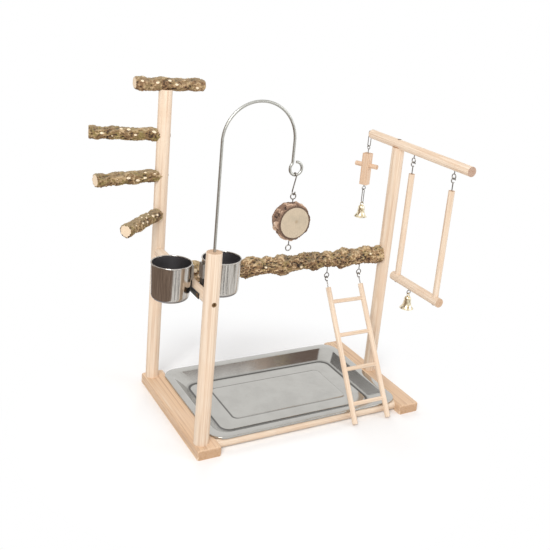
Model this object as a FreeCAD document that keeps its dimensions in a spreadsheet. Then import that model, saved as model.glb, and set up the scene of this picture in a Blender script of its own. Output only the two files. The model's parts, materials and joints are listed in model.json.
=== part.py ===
import FreeCAD, Part
import math
import os

import Sketcher

# A tabletop play stand for parrots. Two flat base rails carry three round posts and a
# drip tray. A cross rail joins the two left posts and holds a pair of feeding cups. A
# thick natural branch runs from the cross rail to the right post. Hanging from it all:
# a ladder, a swing with a bell, a wooden toy with a bell, and a wood slice on a wire arch.
#
# X runs along the tray, Y towards the back, Z up. Layout points are worked out about the
# middle of the base, and at() moves them to the middle of the whole outline.

doc = FreeCAD.newDocument("PlayStand")
V = FreeCAD.Vector
X, Y, Z = V(1, 0, 0), V(0, 1, 0), V(0, 0, 1)

SIZES = {
    # base rails and the dowels between them
    "rail_length": 300, "rail_width": 45, "rail_height": 19, "rail_pitch": 432,
    "rail_round": 4, "cross_dowel_dia": 17, "cross_dowel_inset": 25.5, "tenon_depth": 10,
    # posts
    "post_dia": 25, "cup_post_dia": 27, "post_outset": 7, "post_end_round": 1.5,
    "tall_post_length": 577, "cup_post_length": 355.5, "right_post_length": 490.5,
    "tall_post_inset": 18.5, "cup_post_inset": 24.5, "right_post_set_back": 7.5,
    # joinery
    "cope_depth": 4, "saddle_depth": 2.5, "seat_gap": 0.3,
    # natural perches
    "perch_dia": 23.5, "top_perch_length": 131, "top_perch_overhang": 58,
    "side_perch_reach": 133, "upper_perch_drop": 84, "middle_perch_drop": 160,
    "lower_perch_drop": 234, "upper_perch_angle": -13, "middle_perch_angle": 10,
    "lower_perch_angle": 44, "perch_swell_ratio": 0.06, "perch_knot_pitch": 34,
    # long branch and the cross rail that it butts on
    "cross_rail_dia": 19, "cross_rail_height": 286, "branch_drop": 2, "branch_dia": 31,
    "branch_butt_dia": 41, "branch_swell_ratio": 0.1, "branch_knot_pitch": 71,
    "branch_first_knot": 57,
    # top bar
    "bar_dia": 19, "bar_front_reach": 220.5, "bar_rear_reach": 95,
    # screws
    "screw_dia": 4, "screw_head_dia": 8.5, "screw_head_height": 2.6, "screw_length": 46,
    "base_screw_length": 50, "small_screw_dia": 3, "small_screw_length": 8,
    # wire arch
    "arch_wire_dia": 4.8, "arch_radius": 65, "arch_leg_rise": 182.5, "arch_plug": 30,
    "arch_ring_dia": 22.5, "arch_ring_drop": 47, "arch_neck_radius": 8,
    "arch_neck_angle": 38,
    # screw eyes, hooks and links
    "eye_wire_dia": 2, "eye_dia": 10, "hook_wire_dia": 2.2, "hook_dia": 9, "eye_shank": 9,
    "s_hook_wire_dia": 2.2, "s_hook_bend_dia": 9, "s_hook_length": 29,
    "link_wire_dia": 1.8, "link_bend_dia": 6.4, "hook_sweep_angle": 300,
    "small_eye_dia": 8, "small_eye_wire_dia": 1.8,
    # wood slice
    "slice_dia": 59, "slice_thickness": 28, "slice_bark": 2.5, "slice_eye_rise": 8.5,
    "slice_ring_drop": 19.5,
    # feeding cups and their hangers
    "cup_rim_dia": 69, "cup_foot_dia": 65, "cup_height": 64, "cup_wall": 0.9,
    "cup_foot_round": 9, "cup_lip_dia": 2.4, "cup_floor_drop": 14.5, "cup_set_back": 67.5,
    "hanger_sheet": 1.5, "hanger_width": 12, "hanger_arm_height": 10, "hanger_rise": 42,
    "hanger_foot_length": 46, "clip_sheet": 1, "clip_play": 1, "clip_height": 26,
    "clip_depth": 5.3,
    # drip tray
    "tray_overlap": 8.5, "tray_end_clear": 15, "tray_set_back": 3, "tray_corner": 30,
    "tray_hem": 3, "tray_sheet": 1, "tray_rim": 14, "tray_side_slope": 25,
    "tray_end_slope": 30, "tray_floor_height": 5, "tray_pan_corner": 22,
    "tray_panel_side_inset": 37, "tray_panel_end_inset": 31, "tray_panel_rise": 1.4,
    # ladder
    "ladder_leg_dia": 10.5, "ladder_pitch": 77, "ladder_centre": 125, "ladder_rung_dia": 8,
    "ladder_rungs": 4, "ladder_first_rung": 50, "ladder_rung_pitch": 67.5, "rung_tenon": 3,
    "ladder_eye_drop": 33.5, "ladder_leg_start": 20.5,
    # swing
    "swing_side_dia": 12, "swing_perch_dia": 18, "swing_perch_length": 150,
    "swing_pitch": 122, "swing_front_reach": 175.5, "swing_side_length": 211,
    "swing_eye_drop": 20.5, "swing_hook_shank": 13,
    # bells
    "bell_mouth_dia": 28, "bell_crown_dia": 13, "bell_height": 25, "bell_wall": 1,
    "bell_loop_dia": 7, "bell_set_back": 19, "clapper_dia": 6.5, "clapper_drop": 26.5,
    # hanging toy
    "toy_block_width": 17, "toy_block_height": 67.5, "toy_peg_dia": 10, "toy_peg_length": 51,
    "toy_turn_angle": 28, "toy_link_length": 19, "toy_bell_link_length": 25,
}

# sizes that follow from the others, as cells of the same sheet
WORKED_OUT = {
    "tray_length": "=rail_pitch - rail_width + 2 * tray_overlap",
    "tray_depth": "=rail_length - 2 * tray_end_clear",
    "tray_floor_length": "=tray_length - 2 * (tray_rim + tray_side_slope)",
    "tray_floor_depth": "=tray_depth - 2 * (tray_rim + tray_end_slope)",
    "tray_panel_length": "=tray_floor_length - 2 * tray_panel_side_inset",
    "tray_panel_depth": "=tray_floor_depth - 2 * tray_panel_end_inset",
    "branch_height": "=cross_rail_height - branch_drop",
    "cup_floor_height": "=cross_rail_height - cup_floor_drop",
    "hanger_top_height": "=cross_rail_height + hanger_rise",
}

sheet = doc.addObject("Spreadsheet::Sheet", "Sizes")
for row, (alias, content) in enumerate({**SIZES, **WORKED_OUT}.items(), start=1):
    sheet.set("A%d" % row, alias)
    sheet.set("B%d" % row, str(content))
    sheet.setAlias("B%d" % row, alias)
doc.recompute()

nodes = []


def size(alias):
    return float(sheet.get(alias))


def cell(alias):
    return "Sizes." + alias


# ---------------------------------------------------------------- building blocks


def bind(thing, **formulas):
    for prop, formula in formulas.items():
        thing.setExpression(prop, formula)


def place(thing, point, direction=Z, spin=0):
    """Stands the thing's own Z along direction at point, after a spin about that Z."""
    turn = FreeCAD.Rotation(Z, direction) * FreeCAD.Rotation(Z, spin)
    thing.Placement = FreeCAD.Placement(point, turn)
    return thing


def piece(label, thing):
    """Names a finished sub-part; the label is also its file's name."""
    thing.Label = label
    nodes.append(thing)
    return thing


def rod(name, diameter, length, start, direction=Z):
    round_bar = doc.addObject("Part::Cylinder", name)
    bind(round_bar, Radius="(%s) / 2" % diameter, Height=length)
    return place(round_bar, start, direction)


def block(name, length, depth, height, centre, spin=0):
    """Box on its base centre; the three sizes are formulas."""
    box = doc.addObject("Part::Box", name)
    bind(box, Length=length, Width=depth, Height=height)
    doc.recompute()
    turn = FreeCAD.Rotation(Z, spin)
    corner = turn.multVec(V(-box.Length.Value / 2, -box.Width.Value / 2, 0))
    box.Placement = FreeCAD.Placement(centre + corner, turn)
    return box


def ball(name, diameter, centre):
    sphere = doc.addObject("Part::Sphere", name)
    bind(sphere, Radius=diameter + " / 2")
    return place(sphere, centre)


def ring(name, diameter, wire, centre, axis, sweep=360, spin=50):
    """Wire ring: diameter is measured to the middle of the wire. The spin keeps the ring's
    seam away from whatever is joined to it."""
    torus = doc.addObject("Part::Torus", name)
    bind(torus, Radius1="(%s) / 2" % diameter, Radius2=wire + " / 2")
    torus.Angle3 = sweep
    return place(torus, centre, axis, spin)


def fuse(name, parts):
    joined = doc.addObject("Part::MultiFuse", name)
    joined.Shapes = parts
    return joined


def group(name, parts):
    together = doc.addObject("Part::Compound", name)
    together.Links = parts
    return together


def cut(name, base, tools):
    if len(tools) == 1:
        tool = tools[0]
    else:
        tool = group(name + "_tools", tools)
    remaining = doc.addObject("Part::Cut", name)
    remaining.Base = base
    remaining.Tool = tool
    return remaining


def rounded(name, base, radius, wanted):
    """Rounds the edges of base for which wanted(edge) holds."""
    doc.recompute()
    smooth = doc.addObject("Part::Fillet", name)
    smooth.Base = base
    picked = [i for i, edge in enumerate(base.Shape.Edges, start=1) if wanted(edge)]
    smooth.Edges = [(i, radius, radius) for i in picked]
    return smooth


def upright(edge):
    """Holds for the straight edges that climb, also at a slope."""
    low, high = edge.BoundBox.ZMin, edge.BoundBox.ZMax
    return edge.Curve.TypeId == "Part::GeomLine" and high - low > 0.5


def at_height(height):
    def wanted(edge):
        return abs(edge.BoundBox.ZMin - height) < 1e-3 and abs(edge.BoundBox.ZMax - height) < 1e-3

    return wanted


def bent_wire(name, wire, edges):
    """Round wire swept along a path of lines and arcs."""
    path = doc.addObject("Part::Feature", name + "_path")
    path.Shape = Part.Wire(edges)
    profile = doc.addObject("Part::Circle", name + "_profile")
    bind(profile, Radius=wire + " / 2")
    first = path.Shape.OrderedEdges[0]
    place(profile, first.valueAt(first.FirstParameter), first.tangentAt(first.FirstParameter))
    swept = doc.addObject("Part::Sweep", name)
    swept.Sections = [profile]
    swept.Spine = (path, ["Edge%d" % (i + 1) for i in range(len(path.Shape.Edges))])
    swept.Solid = True
    swept.Frenet = False
    return swept


def arc(centre, radius, start_deg, end_deg, across):
    """Arc in the upright plane of across and Z; angles count from across towards Z."""

    def point(angle):
        turn = math.radians(angle)
        return centre + across * (radius * math.cos(turn)) + Z * (radius * math.sin(turn))

    return Part.Arc(point(start_deg), point((start_deg + end_deg) / 2), point(end_deg)).toShape()


def line(start, end):
    return Part.LineSegment(start, end).toShape()


def skin(name, stations, start, direction=Z):
    """Smooth form through circles. A station is (height, radius formula, (shift x, shift y))."""
    turn = FreeCAD.Placement(start, FreeCAD.Rotation(Z, direction))
    circles = []
    for i, (height, radius, shift) in enumerate(stations):
        circle = doc.addObject("Part::Circle", "%s_ring%d" % (name, i))
        bind(circle, Radius=radius)
        circle.Placement = turn * FreeCAD.Placement(V(shift[0], shift[1], height), FreeCAD.Rotation())
        circles.append(circle)
    form = doc.addObject("Part::Loft", name)
    form.Sections = circles
    form.Solid = True
    form.Ruled = False
    return form


def grown(name, diameter, length, start, direction, swell, pitch, first_knot, butt=1.0):
    """Natural stick. It swells at knots about a pitch apart, thins between them and sways a
    little off its axis. Its first end may be thicker by the factor butt."""
    count = math.ceil(5 * length / pitch)
    stations = []
    for i in range(count + 1):
        along = length * i / count
        turns = (along - first_knot) / pitch
        uneven = 1 + 0.35 * math.sin(1.7 * turns + 2)
        flare = (butt - 1) * math.exp(-((1.6 * along / pitch) ** 2))
        thick = 1 + swell * uneven * math.cos(2 * math.pi * turns) + flare
        sway = 0.03 * size(diameter) * math.sin(3.9 * turns)
        stations.append((along, "%s / 2 * %.4f" % (cell(diameter), thick), (sway, -0.7 * sway)))
    return skin(name, stations, start, direction)


def screw(name, head_point, direction, length="screw_length", shank="screw_dia"):
    """Countersunk wood screw that enters along direction from head_point."""
    head = doc.addObject("Part::Cone", name + "_head")
    bind(head, Radius1=cell("screw_head_dia") + " / 2", Radius2=cell(shank) + " / 2")
    bind(head, Height=cell("screw_head_height"))
    place(head, head_point, direction)
    body = rod(name + "_shank", cell(shank), cell(length), head_point, direction)
    return fuse(name, [head, body])


def screw_eye(name, centre, shank_direction, ring_axis, reach, diameter="eye_dia", wire="eye_wire_dia"):
    """Ring with a shank that starts inside the ring's wire and runs reach beyond it."""
    loop = ring(name + "_ring", cell(diameter), cell(wire), centre, ring_axis)
    foot = centre + shank_direction * (size(diameter) / 2)
    shank = rod(name + "_shank", cell(wire), "%.3f" % reach, foot, shank_direction)
    return fuse(name, [loop, shank])


def open_hook(name, centre, turn, shank_direction, reach):
    """Screw hook: a ring left open on one side, with a shank from its foot. Turn sets the opening."""
    sweep = size("hook_sweep_angle")
    loop = ring(name + "_ring", cell("hook_dia"), cell("hook_wire_dia"), centre, Z, sweep)
    loop.Placement = FreeCAD.Placement(centre, turn)
    foot = centre + shank_direction * (size("hook_dia") / 2)
    shank = rod(name + "_shank", cell("hook_wire_dia"), "%.3f" % reach, foot, shank_direction)
    return fuse(name, [loop, shank])


def hanging_centre(seat, diameter, wire, seat_wire, down=Z * -1):
    """Middle of a ring that hangs on a wire whose own middle is seat."""
    inner = (size(diameter) - size(wire)) / 2
    return seat + down * (inner - size(seat_wire) / 2 - size("seat_gap"))


# ---------------------------------------------------------------- layout

perch_r = size("perch_dia") / 2
post_x = size("rail_pitch") / 2 + size("post_outset")
tall_y = size("rail_length") / 2 - size("tall_post_inset")
cup_y = size("cup_post_inset") - size("rail_length") / 2
right_y = size("right_post_set_back")
rail_top = size("rail_height")

upper_turn = math.radians(size("upper_perch_angle"))
middle_turn = math.radians(size("middle_perch_angle"))


def reach_left(turn):
    """How far a side perch's end face reaches to the left of the tall post's axis."""
    return size("side_perch_reach") * math.cos(turn) + perch_r * abs(math.sin(turn))


def reach_back(turn):
    """How far a side perch's end face reaches behind the tall post's axis."""
    return perch_r * math.cos(turn) - size("side_perch_reach") * math.sin(turn)


toy_turn = math.radians(size("toy_turn_angle"))
peg_reach = (size("toy_peg_length") * math.sin(toy_turn) + size("toy_peg_dia") * math.cos(toy_turn)) / 2
left_edge = -post_x - max(reach_left(upper_turn), reach_left(middle_turn))
right_edge = max((size("rail_pitch") + size("rail_width")) / 2, post_x + peg_reach)
front_edge = right_y - size("bar_front_reach")
back_edge = max(size("rail_length") / 2, tall_y + reach_back(upper_turn))
middle = V((left_edge + right_edge) / 2, (front_edge + back_edge) / 2, 0)


def at(x, y, z):
    return V(x, y, z) - middle


anchors = {}

# ---------------------------------------------------------------- base

dowel_y = size("rail_length") / 2 - size("cross_dowel_inset")
dowel_x = (size("rail_pitch") - size("rail_width")) / 2 + size("tenon_depth")
dowel_length = "Sizes.rail_pitch - Sizes.rail_width + 2 * Sizes.tenon_depth"
cross_dowels = []
for name, y in (("front_cross_dowel", -dowel_y), ("rear_cross_dowel", dowel_y)):
    start = at(-dowel_x, y, rail_top / 2)
    cross_dowels.append(piece(name, rod(name + "_rod", cell("cross_dowel_dia"), dowel_length, start, X)))


def base_rail(label, x, tools):
    """Flat board with rounded top edges and ends, bored for the dowels and screws."""
    body = doc.addObject("PartDesign::Body", label + "_board")
    outline = body.newObject("Sketcher::SketchObject", label + "_outline")
    plane = next(f for f in body.Origin.OriginFeatures if f.Role == "XY_Plane")
    outline.AttachmentSupport = (plane, [""])
    outline.MapMode = "FlatFace"
    w, l = size("rail_width") / 2, size("rail_length") / 2
    corners = [V(-w, -l, 0), V(w, -l, 0), V(w, l, 0), V(-w, l, 0)]
    for a, b in zip(corners, corners[1:] + corners[:1]):
        outline.addGeometry(Part.LineSegment(a, b), False)
    for i in range(4):
        outline.addConstraint(Sketcher.Constraint("Coincident", i, 2, (i + 1) % 4, 1))
        outline.addConstraint(Sketcher.Constraint("Vertical" if i % 2 else "Horizontal", i))
    outline.addConstraint(Sketcher.Constraint("Symmetric", 0, 1, 1, 2, -1, 1))
    wide = outline.addConstraint(Sketcher.Constraint("DistanceX", 0, 1, 0, 2, 2 * w))
    deep = outline.addConstraint(Sketcher.Constraint("DistanceY", 1, 1, 1, 2, 2 * l))
    outline.setExpression("Constraints[%d]" % wide, cell("rail_width"))
    outline.setExpression("Constraints[%d]" % deep, cell("rail_length"))
    pad = body.newObject("PartDesign::Pad", label + "_thickness")
    pad.Profile = outline
    bind(pad, Length=cell("rail_height"))
    doc.recompute()
    edges = enumerate(pad.Shape.Edges, start=1)
    top = ["Edge%d" % i for i, edge in edges if at_height(size("rail_height"))(edge) or upright(edge)]
    soft = body.newObject("PartDesign::Fillet", label + "_edges")
    soft.Base = (pad, top)
    bind(soft, Radius=cell("rail_round"))
    body.Tip = soft
    body.Placement = FreeCAD.Placement(at(x, 0, 0), FreeCAD.Rotation())
    return piece(label, cut(label + "_bored", body, tools))


# ---------------------------------------------------------------- posts, plain rods first

tall_foot = at(-post_x, tall_y, rail_top)
cup_foot = at(-post_x, cup_y, rail_top)
right_foot = at(post_x, right_y, rail_top)
tall_top = rail_top + size("tall_post_length")
cup_top = rail_top + size("cup_post_length")
right_top = rail_top + size("right_post_length")

tall_rod = rod("tall_rod", cell("post_dia"), cell("tall_post_length"), tall_foot)
cup_rod = rod("cup_rod", cell("cup_post_dia"), cell("cup_post_length"), cup_foot)
right_rod = rod("right_rod", cell("post_dia"), cell("right_post_length"), right_foot)
cup_rod_soft = rounded("cup_rod_soft", cup_rod, size("post_end_round"), at_height(cup_top))

base_screws = []
for name, foot in (("tall", tall_foot), ("cup", cup_foot), ("right", right_foot)):
    under = V(foot.x, foot.y, 0)
    base_screws.append(screw(name + "_base_screw", under, Z, "base_screw_length"))
piece("base_screws", group("base_screw_set", base_screws))
base_rail("left_base_rail", -size("rail_pitch") / 2, cross_dowels + base_screws[:2])
base_rail("right_base_rail", size("rail_pitch") / 2, cross_dowels + base_screws[2:])

# ---------------------------------------------------------------- perches on the tall post

perch_top = tall_top + perch_r - size("saddle_depth")
perch_start = at(-post_x - size("top_perch_overhang"), tall_y, perch_top)
top_perch = grown("top_perch_stick", "perch_dia", size("top_perch_length"), perch_start, X,
                  size("perch_swell_ratio"), size("perch_knot_pitch"), perch_r)
crown_screw = screw("top_perch_screw", at(-post_x, tall_y, perch_top + perch_r), -Z)
piece("top_perch", cut("top_perch_bored", top_perch, [crown_screw]))

perch_screws = [crown_screw]
for name in ("upper", "middle", "lower"):
    turn = math.radians(size(name + "_perch_angle"))
    outward = V(-math.cos(turn), -math.sin(turn), 0)
    height = tall_top - size(name + "_perch_drop")
    axis_point = at(-post_x, tall_y, height)
    near = size("post_dia") / 2 - size("cope_depth")
    length = size("side_perch_reach") - near
    stick = grown(name + "_perch_stick", "perch_dia", length, axis_point + outward * near, outward,
                  size("perch_swell_ratio"), size("perch_knot_pitch"),
                  length - size("perch_knot_pitch") / 4)
    far_side = axis_point - outward * (size("post_dia") / 2)
    fixing = screw(name + "_perch_screw", far_side, outward)
    perch_screws.append(fixing)
    piece(name + "_side_perch", cut(name + "_perch_coped", stick, [tall_rod, fixing]))
piece("perch_screws", group("perch_screw_set", perch_screws))

# ---------------------------------------------------------------- cross rail, branch and top bar

cross_height = size("cross_rail_height")
cross_start = cup_y + size("cup_post_dia") / 2 - 1.5 * size("cope_depth")
cross_end = tall_y - size("post_dia") / 2 + 1.5 * size("cope_depth")
cross_stick = rod("cross_stick", cell("cross_rail_dia"), "%.3f" % (cross_end - cross_start),
                  at(-post_x, cross_start, cross_height), Y)

rail_screws = [
    screw("cup_rail_screw", at(-post_x, cup_y - size("cup_post_dia") / 2, cross_height), Y),
    screw("tall_rail_screw", at(-post_x, tall_y + size("post_dia") / 2, cross_height), -Y),
]
piece("cross_rail_screws", group("rail_screw_set", rail_screws))

branch_height = size("branch_height")
branch_start = -post_x + size("cross_rail_dia") / 2 - size("cope_depth")
branch_end = post_x - size("post_dia") / 2 + size("cope_depth")
branch_stick = grown("long_branch_stick", "branch_dia", branch_end - branch_start,
                     at(branch_start, right_y, branch_height), X, size("branch_swell_ratio"),
                     size("branch_knot_pitch"), size("branch_first_knot"),
                     size("branch_butt_dia") / size("branch_dia"))
branch_screws = [
    screw("branch_left_screw", at(-post_x - size("cross_rail_dia") / 2, right_y, branch_height), X),
    screw("branch_right_screw", at(post_x + size("post_dia") / 2, right_y, branch_height), -X),
]
piece("branch_screws", group("branch_screw_set", branch_screws))

bar_height = right_top + size("bar_dia") / 2 - size("saddle_depth")
bar_stick = rod("bar_stick", cell("bar_dia"), "Sizes.bar_front_reach + Sizes.bar_rear_reach",
                at(post_x, right_y - size("bar_front_reach"), bar_height), Y)
bar_screw = piece("bar_screw", screw("bar_screw_whole",
                                     at(post_x, right_y, bar_height + size("bar_dia") / 2), -Z))

# ---------------------------------------------------------------- screw eyes under branch and bar

ladder_xs = [size("ladder_centre") + side * size("ladder_pitch") / 2 for side in (-1, 1)]
ladder_eye_z = branch_height - size("ladder_eye_drop")
ladder_eyes = []
for i, x in enumerate(ladder_xs):
    rise = size("ladder_eye_drop") - size("eye_dia") / 2
    ladder_eyes.append(screw_eye("ladder_eye%d" % i, at(x, right_y, ladder_eye_z), Z, Y, rise))
piece("ladder_screw_eyes", group("ladder_eye_set", ladder_eyes))
piece("long_branch", cut("long_branch_coped", branch_stick,
                         [cross_stick, right_rod] + branch_screws + ladder_eyes))

swing_ys = [right_y - size("swing_front_reach") + i * size("swing_pitch") for i in (0, 1)]
swing_eye_z = bar_height - size("swing_eye_drop")
swing_eyes = []
for i, y in enumerate(swing_ys):
    rise = size("swing_eye_drop") - size("eye_dia") / 2
    swing_eyes.append(screw_eye("swing_eye%d" % i, at(post_x, y, swing_eye_z), Z, X, rise))
piece("swing_screw_eyes", group("swing_eye_set", swing_eyes))

bar_back_y = right_y + size("bar_rear_reach")
toy_y = bar_back_y + size("eye_dia") / 2 + size("eye_wire_dia")
toy_eye_centre = at(post_x, toy_y, bar_height)
toy_eye = piece("toy_screw_eye", screw_eye("bar_end_eye", toy_eye_centre, -Y, X, size("eye_shank") + 6))
piece("top_bar", cut("top_bar_bored", bar_stick, [bar_screw, toy_eye] + swing_eyes))
piece("right_post", cut("right_post_cut", right_rod,
                        [bar_stick, bar_screw, branch_screws[1], base_screws[2]]))

# ---------------------------------------------------------------- wire arch in the cup post's top

wire_r = size("arch_wire_dia") / 2
arch_r = size("arch_radius")
spring_z = cup_top + size("arch_leg_rise")
ring_r = size("arch_ring_dia") / 2
ring_z = spring_z - size("arch_ring_drop")
neck_r = size("arch_neck_radius")
bend = math.radians(size("arch_neck_angle"))
arch_left = at(-post_x, cup_y, spring_z)
arch_right = arch_left + X * (2 * arch_r)
ring_centre = arch_right + X * (ring_r * math.cos(bend) - neck_r * (1 - math.cos(bend)))
ring_centre.z = ring_z
neck_top = V(arch_right.x, arch_right.y, ring_z + (ring_r + neck_r) * math.sin(bend))
plug_end = at(-post_x, cup_y, cup_top - size("arch_plug"))
arch_edges = [
    line(plug_end, arch_left),
    arc(arch_left + X * arch_r, arch_r, 180, 0, X),
    line(arch_right, neck_top),
    arc(neck_top - X * neck_r, neck_r, 0, -size("arch_neck_angle"), X),
    arc(ring_centre, ring_r, 180 - size("arch_neck_angle"), 450, X),
]
arch = piece("arch_wire", bent_wire("arch_sweep", cell("arch_wire_dia"), arch_edges))
piece("cup_post", cut("cup_post_cut", cup_rod_soft, [arch, rail_screws[0], base_screws[1]]))
piece("tall_post", cut("tall_post_cut", tall_rod,
                       [top_perch, rail_screws[1], base_screws[0]] + perch_screws))

# ---------------------------------------------------------------- S hook and wood slice

hang_x = ring_centre.x
ring_low = ring_centre - Z * ring_r
s_r = size("s_hook_bend_dia") / 2
s_top = hanging_centre(ring_low, "s_hook_bend_dia", "s_hook_wire_dia", "arch_wire_dia")
s_low = s_top - Z * size("s_hook_length")
hook_seat = s_low - Z * s_r
slice_eye_centre = hanging_centre(hook_seat, "eye_dia", "eye_wire_dia", "s_hook_wire_dia")
cross_tilt = math.asin(2 * s_r / (s_top.z - s_low.z))
tilt_deg = math.degrees(cross_tilt)
left_touch = s_top + Y * (-s_r * math.cos(cross_tilt)) + Z * (-s_r * math.sin(cross_tilt))
right_touch = s_low + Y * (s_r * math.cos(cross_tilt)) + Z * (s_r * math.sin(cross_tilt))
s_edges = [
    arc(s_top, s_r, -25, 180 + tilt_deg, Y),
    line(left_touch, right_touch),
    arc(s_low, s_r, tilt_deg, -205, Y),
]
piece("slice_hook", bent_wire("slice_hook_sweep", cell("s_hook_wire_dia"), s_edges))
anchors["slice_hook_swing"] = ring_low
anchors["slice_swing"] = hook_seat

slice_r = size("slice_dia") / 2
slice_centre = slice_eye_centre - Z * (size("eye_dia") / 2 + size("slice_eye_rise") + slice_r)
slice_front = slice_centre - Y * (size("slice_thickness") / 2)
slice_whole = rod("slice_whole", cell("slice_dia"), cell("slice_thickness"), slice_front, Y)
slice_core = rod("slice_core", "Sizes.slice_dia - 2 * Sizes.slice_bark", cell("slice_thickness"),
                 slice_front, Y)
top_reach = size("slice_eye_rise") + size("eye_shank")
slice_top_eye = piece("slice_top_eye", screw_eye("slice_upper_eye", slice_eye_centre, -Z, Y, top_reach))
slice_ring_centre = slice_centre - Z * (slice_r + size("slice_ring_drop"))
low_reach = size("slice_ring_drop") - size("eye_dia") / 2 + size("eye_shank")
slice_low_eye = piece("slice_bottom_eye", screw_eye("slice_lower_eye", slice_ring_centre, Z, Y, low_reach))
slice_bark = cut("slice_bark_ring", slice_whole, [slice_core])
piece("slice_bark", cut("slice_bark_bored", slice_bark, [slice_top_eye, slice_low_eye]))
piece("wood_slice", cut("wood_slice_bored", slice_core, [slice_top_eye, slice_low_eye]))

# ---------------------------------------------------------------- feeding cups and hangers

cup_centre_y = cup_y + size("cup_set_back")
floor_z = size("cup_floor_height")
hang_sheet = size("hanger_sheet")
rail_side = size("cross_rail_dia") / 2
hanger_w = size("hanger_width")
cup_gap = size("seat_gap") + size("cup_rim_dia") / 2
hanger_screws = []
for side, name in ((-1, "left"), (1, "right")):
    sheet_x = -post_x + side * (rail_side + hang_sheet / 2)
    foot_y = cup_centre_y + hanger_w / 2 - size("hanger_foot_length") / 2
    low_z = cross_height - size("hanger_arm_height") / 2
    foot = block(name + "_hanger_foot", cell("hanger_sheet"), cell("hanger_foot_length"),
                 cell("hanger_arm_height"), at(sheet_x, foot_y, low_z))
    tall = "Sizes.hanger_top_height - Sizes.cross_rail_height + Sizes.hanger_arm_height / 2"
    arm = block(name + "_hanger_arm", cell("hanger_sheet"), cell("hanger_width"), tall,
                at(sheet_x, cup_centre_y, low_z))
    fixing_y = foot_y - size("hanger_foot_length") / 2 + hanger_w / 2
    fixing = screw(name + "_hanger_screw",
                   at(-post_x + side * (rail_side + hang_sheet), fixing_y, cross_height),
                   X * -side, "small_screw_length", "small_screw_dia")
    hanger_screws.append(fixing)
    hanger = fuse(name + "_hanger_plate", [foot, arm])
    piece(name + "_cup_hanger", cut(name + "_hanger_bored", hanger, [fixing]))

    cup_x = -post_x + side * (rail_side + hang_sheet + cup_gap)
    centre = at(cup_x, cup_centre_y, floor_z)
    outer = doc.addObject("Part::Cone", name + "_cup_outer")
    bind(outer, Radius1=cell("cup_foot_dia") + " / 2", Radius2=cell("cup_rim_dia") + " / 2")
    bind(outer, Height=cell("cup_height"))
    place(outer, centre)
    outer_soft = rounded(name + "_cup_outer_soft", outer, size("cup_foot_round"), at_height(floor_z))
    inner = doc.addObject("Part::Cone", name + "_cup_inner")
    bind(inner, Radius1="Sizes.cup_foot_dia / 2 - Sizes.cup_wall",
         Radius2="Sizes.cup_rim_dia / 2 - Sizes.cup_wall")
    bind(inner, Height=cell("cup_height"))
    place(inner, centre + Z * size("cup_wall"))
    inner_soft = rounded(name + "_cup_inner_soft", inner, size("cup_foot_round") - size("cup_wall"),
                         at_height(floor_z + size("cup_wall")))
    shell = cut(name + "_cup_shell", outer_soft, [inner_soft])
    lip = ring(name + "_cup_lip", "Sizes.cup_rim_dia - Sizes.cup_wall", cell("cup_lip_dia"),
               centre + Z * size("cup_height"), Z)
    cup = piece(name + "_cup", fuse(name + "_cup_whole", [shell, lip]))

    play = size("clip_play")
    clip_top = size("hanger_top_height") + size("seat_gap") + size("clip_sheet")
    clip_low = clip_top - size("clip_height")
    inner_x = -post_x + side * (rail_side - size("seat_gap") - size("clip_sheet"))
    outer_x = inner_x + side * (size("clip_sheet") + size("clip_depth"))
    clip_out = block(name + "_clip_out", "%.3f" % abs(outer_x - inner_x),
                     "Sizes.hanger_width + 2 * Sizes.clip_play + 2 * Sizes.clip_sheet",
                     cell("clip_height"), at((inner_x + outer_x) / 2, cup_centre_y, clip_low))
    slot_x = -post_x + side * (rail_side - size("seat_gap") + size("clip_depth"))
    slot = block(name + "_clip_slot", "2 * Sizes.clip_depth", "Sizes.hanger_width + 2 * Sizes.clip_play",
                 "Sizes.clip_height - Sizes.clip_sheet + 5",
                 at(slot_x, cup_centre_y, clip_low - 5))
    piece(name + "_cup_clip", cut(name + "_clip_bent", clip_out, [slot, outer]))
piece("hanger_screws", group("hanger_screw_set", hanger_screws))
piece("cross_rail", cut("cross_rail_coped", cross_stick,
                        [tall_rod, cup_rod, branch_screws[0]] + rail_screws + hanger_screws))

# ---------------------------------------------------------------- drip tray

tray_y = size("tray_set_back")
tray_low = rail_top + size("seat_gap")
tray_top = tray_low + size("tray_hem")
sheet_t = size("tray_sheet")


def soft_block(name, length, depth, height, centre, radius, spin=0):
    return rounded(name + "_soft", block(name, length, depth, height, centre, spin), radius, upright)


def pan(name, grow, base_z, top_z):
    """Frustum with rounded corners: the tray's sloping walls, moved outwards by grow."""
    slope = doc.addObject("Part::Wedge", name)
    half = {"X": ("tray_floor_length", "tray_length"), "Z": ("tray_floor_depth", "tray_depth")}
    bind(slope, Ymin="0", Ymax="%.3f" % (top_z - base_z))
    for way, (low, high) in half.items():
        bottom = "(Sizes.%s / 2 + %.3f)" % (low, grow)
        top = "(Sizes.%s / 2 - Sizes.tray_rim + %.3f)" % (high, grow)
        suffix = way
        slope.setExpression(suffix + "min", "-" + bottom)
        slope.setExpression(suffix + "max", bottom)
        slope.setExpression(suffix + "2min", "-" + top)
        slope.setExpression(suffix + "2max", top)
    turn = FreeCAD.Rotation(X, 90)
    slope.Placement = FreeCAD.Placement(at(0, tray_y, base_z), turn)
    return rounded(name + "_soft", slope, size("tray_pan_corner"), upright)


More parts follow.
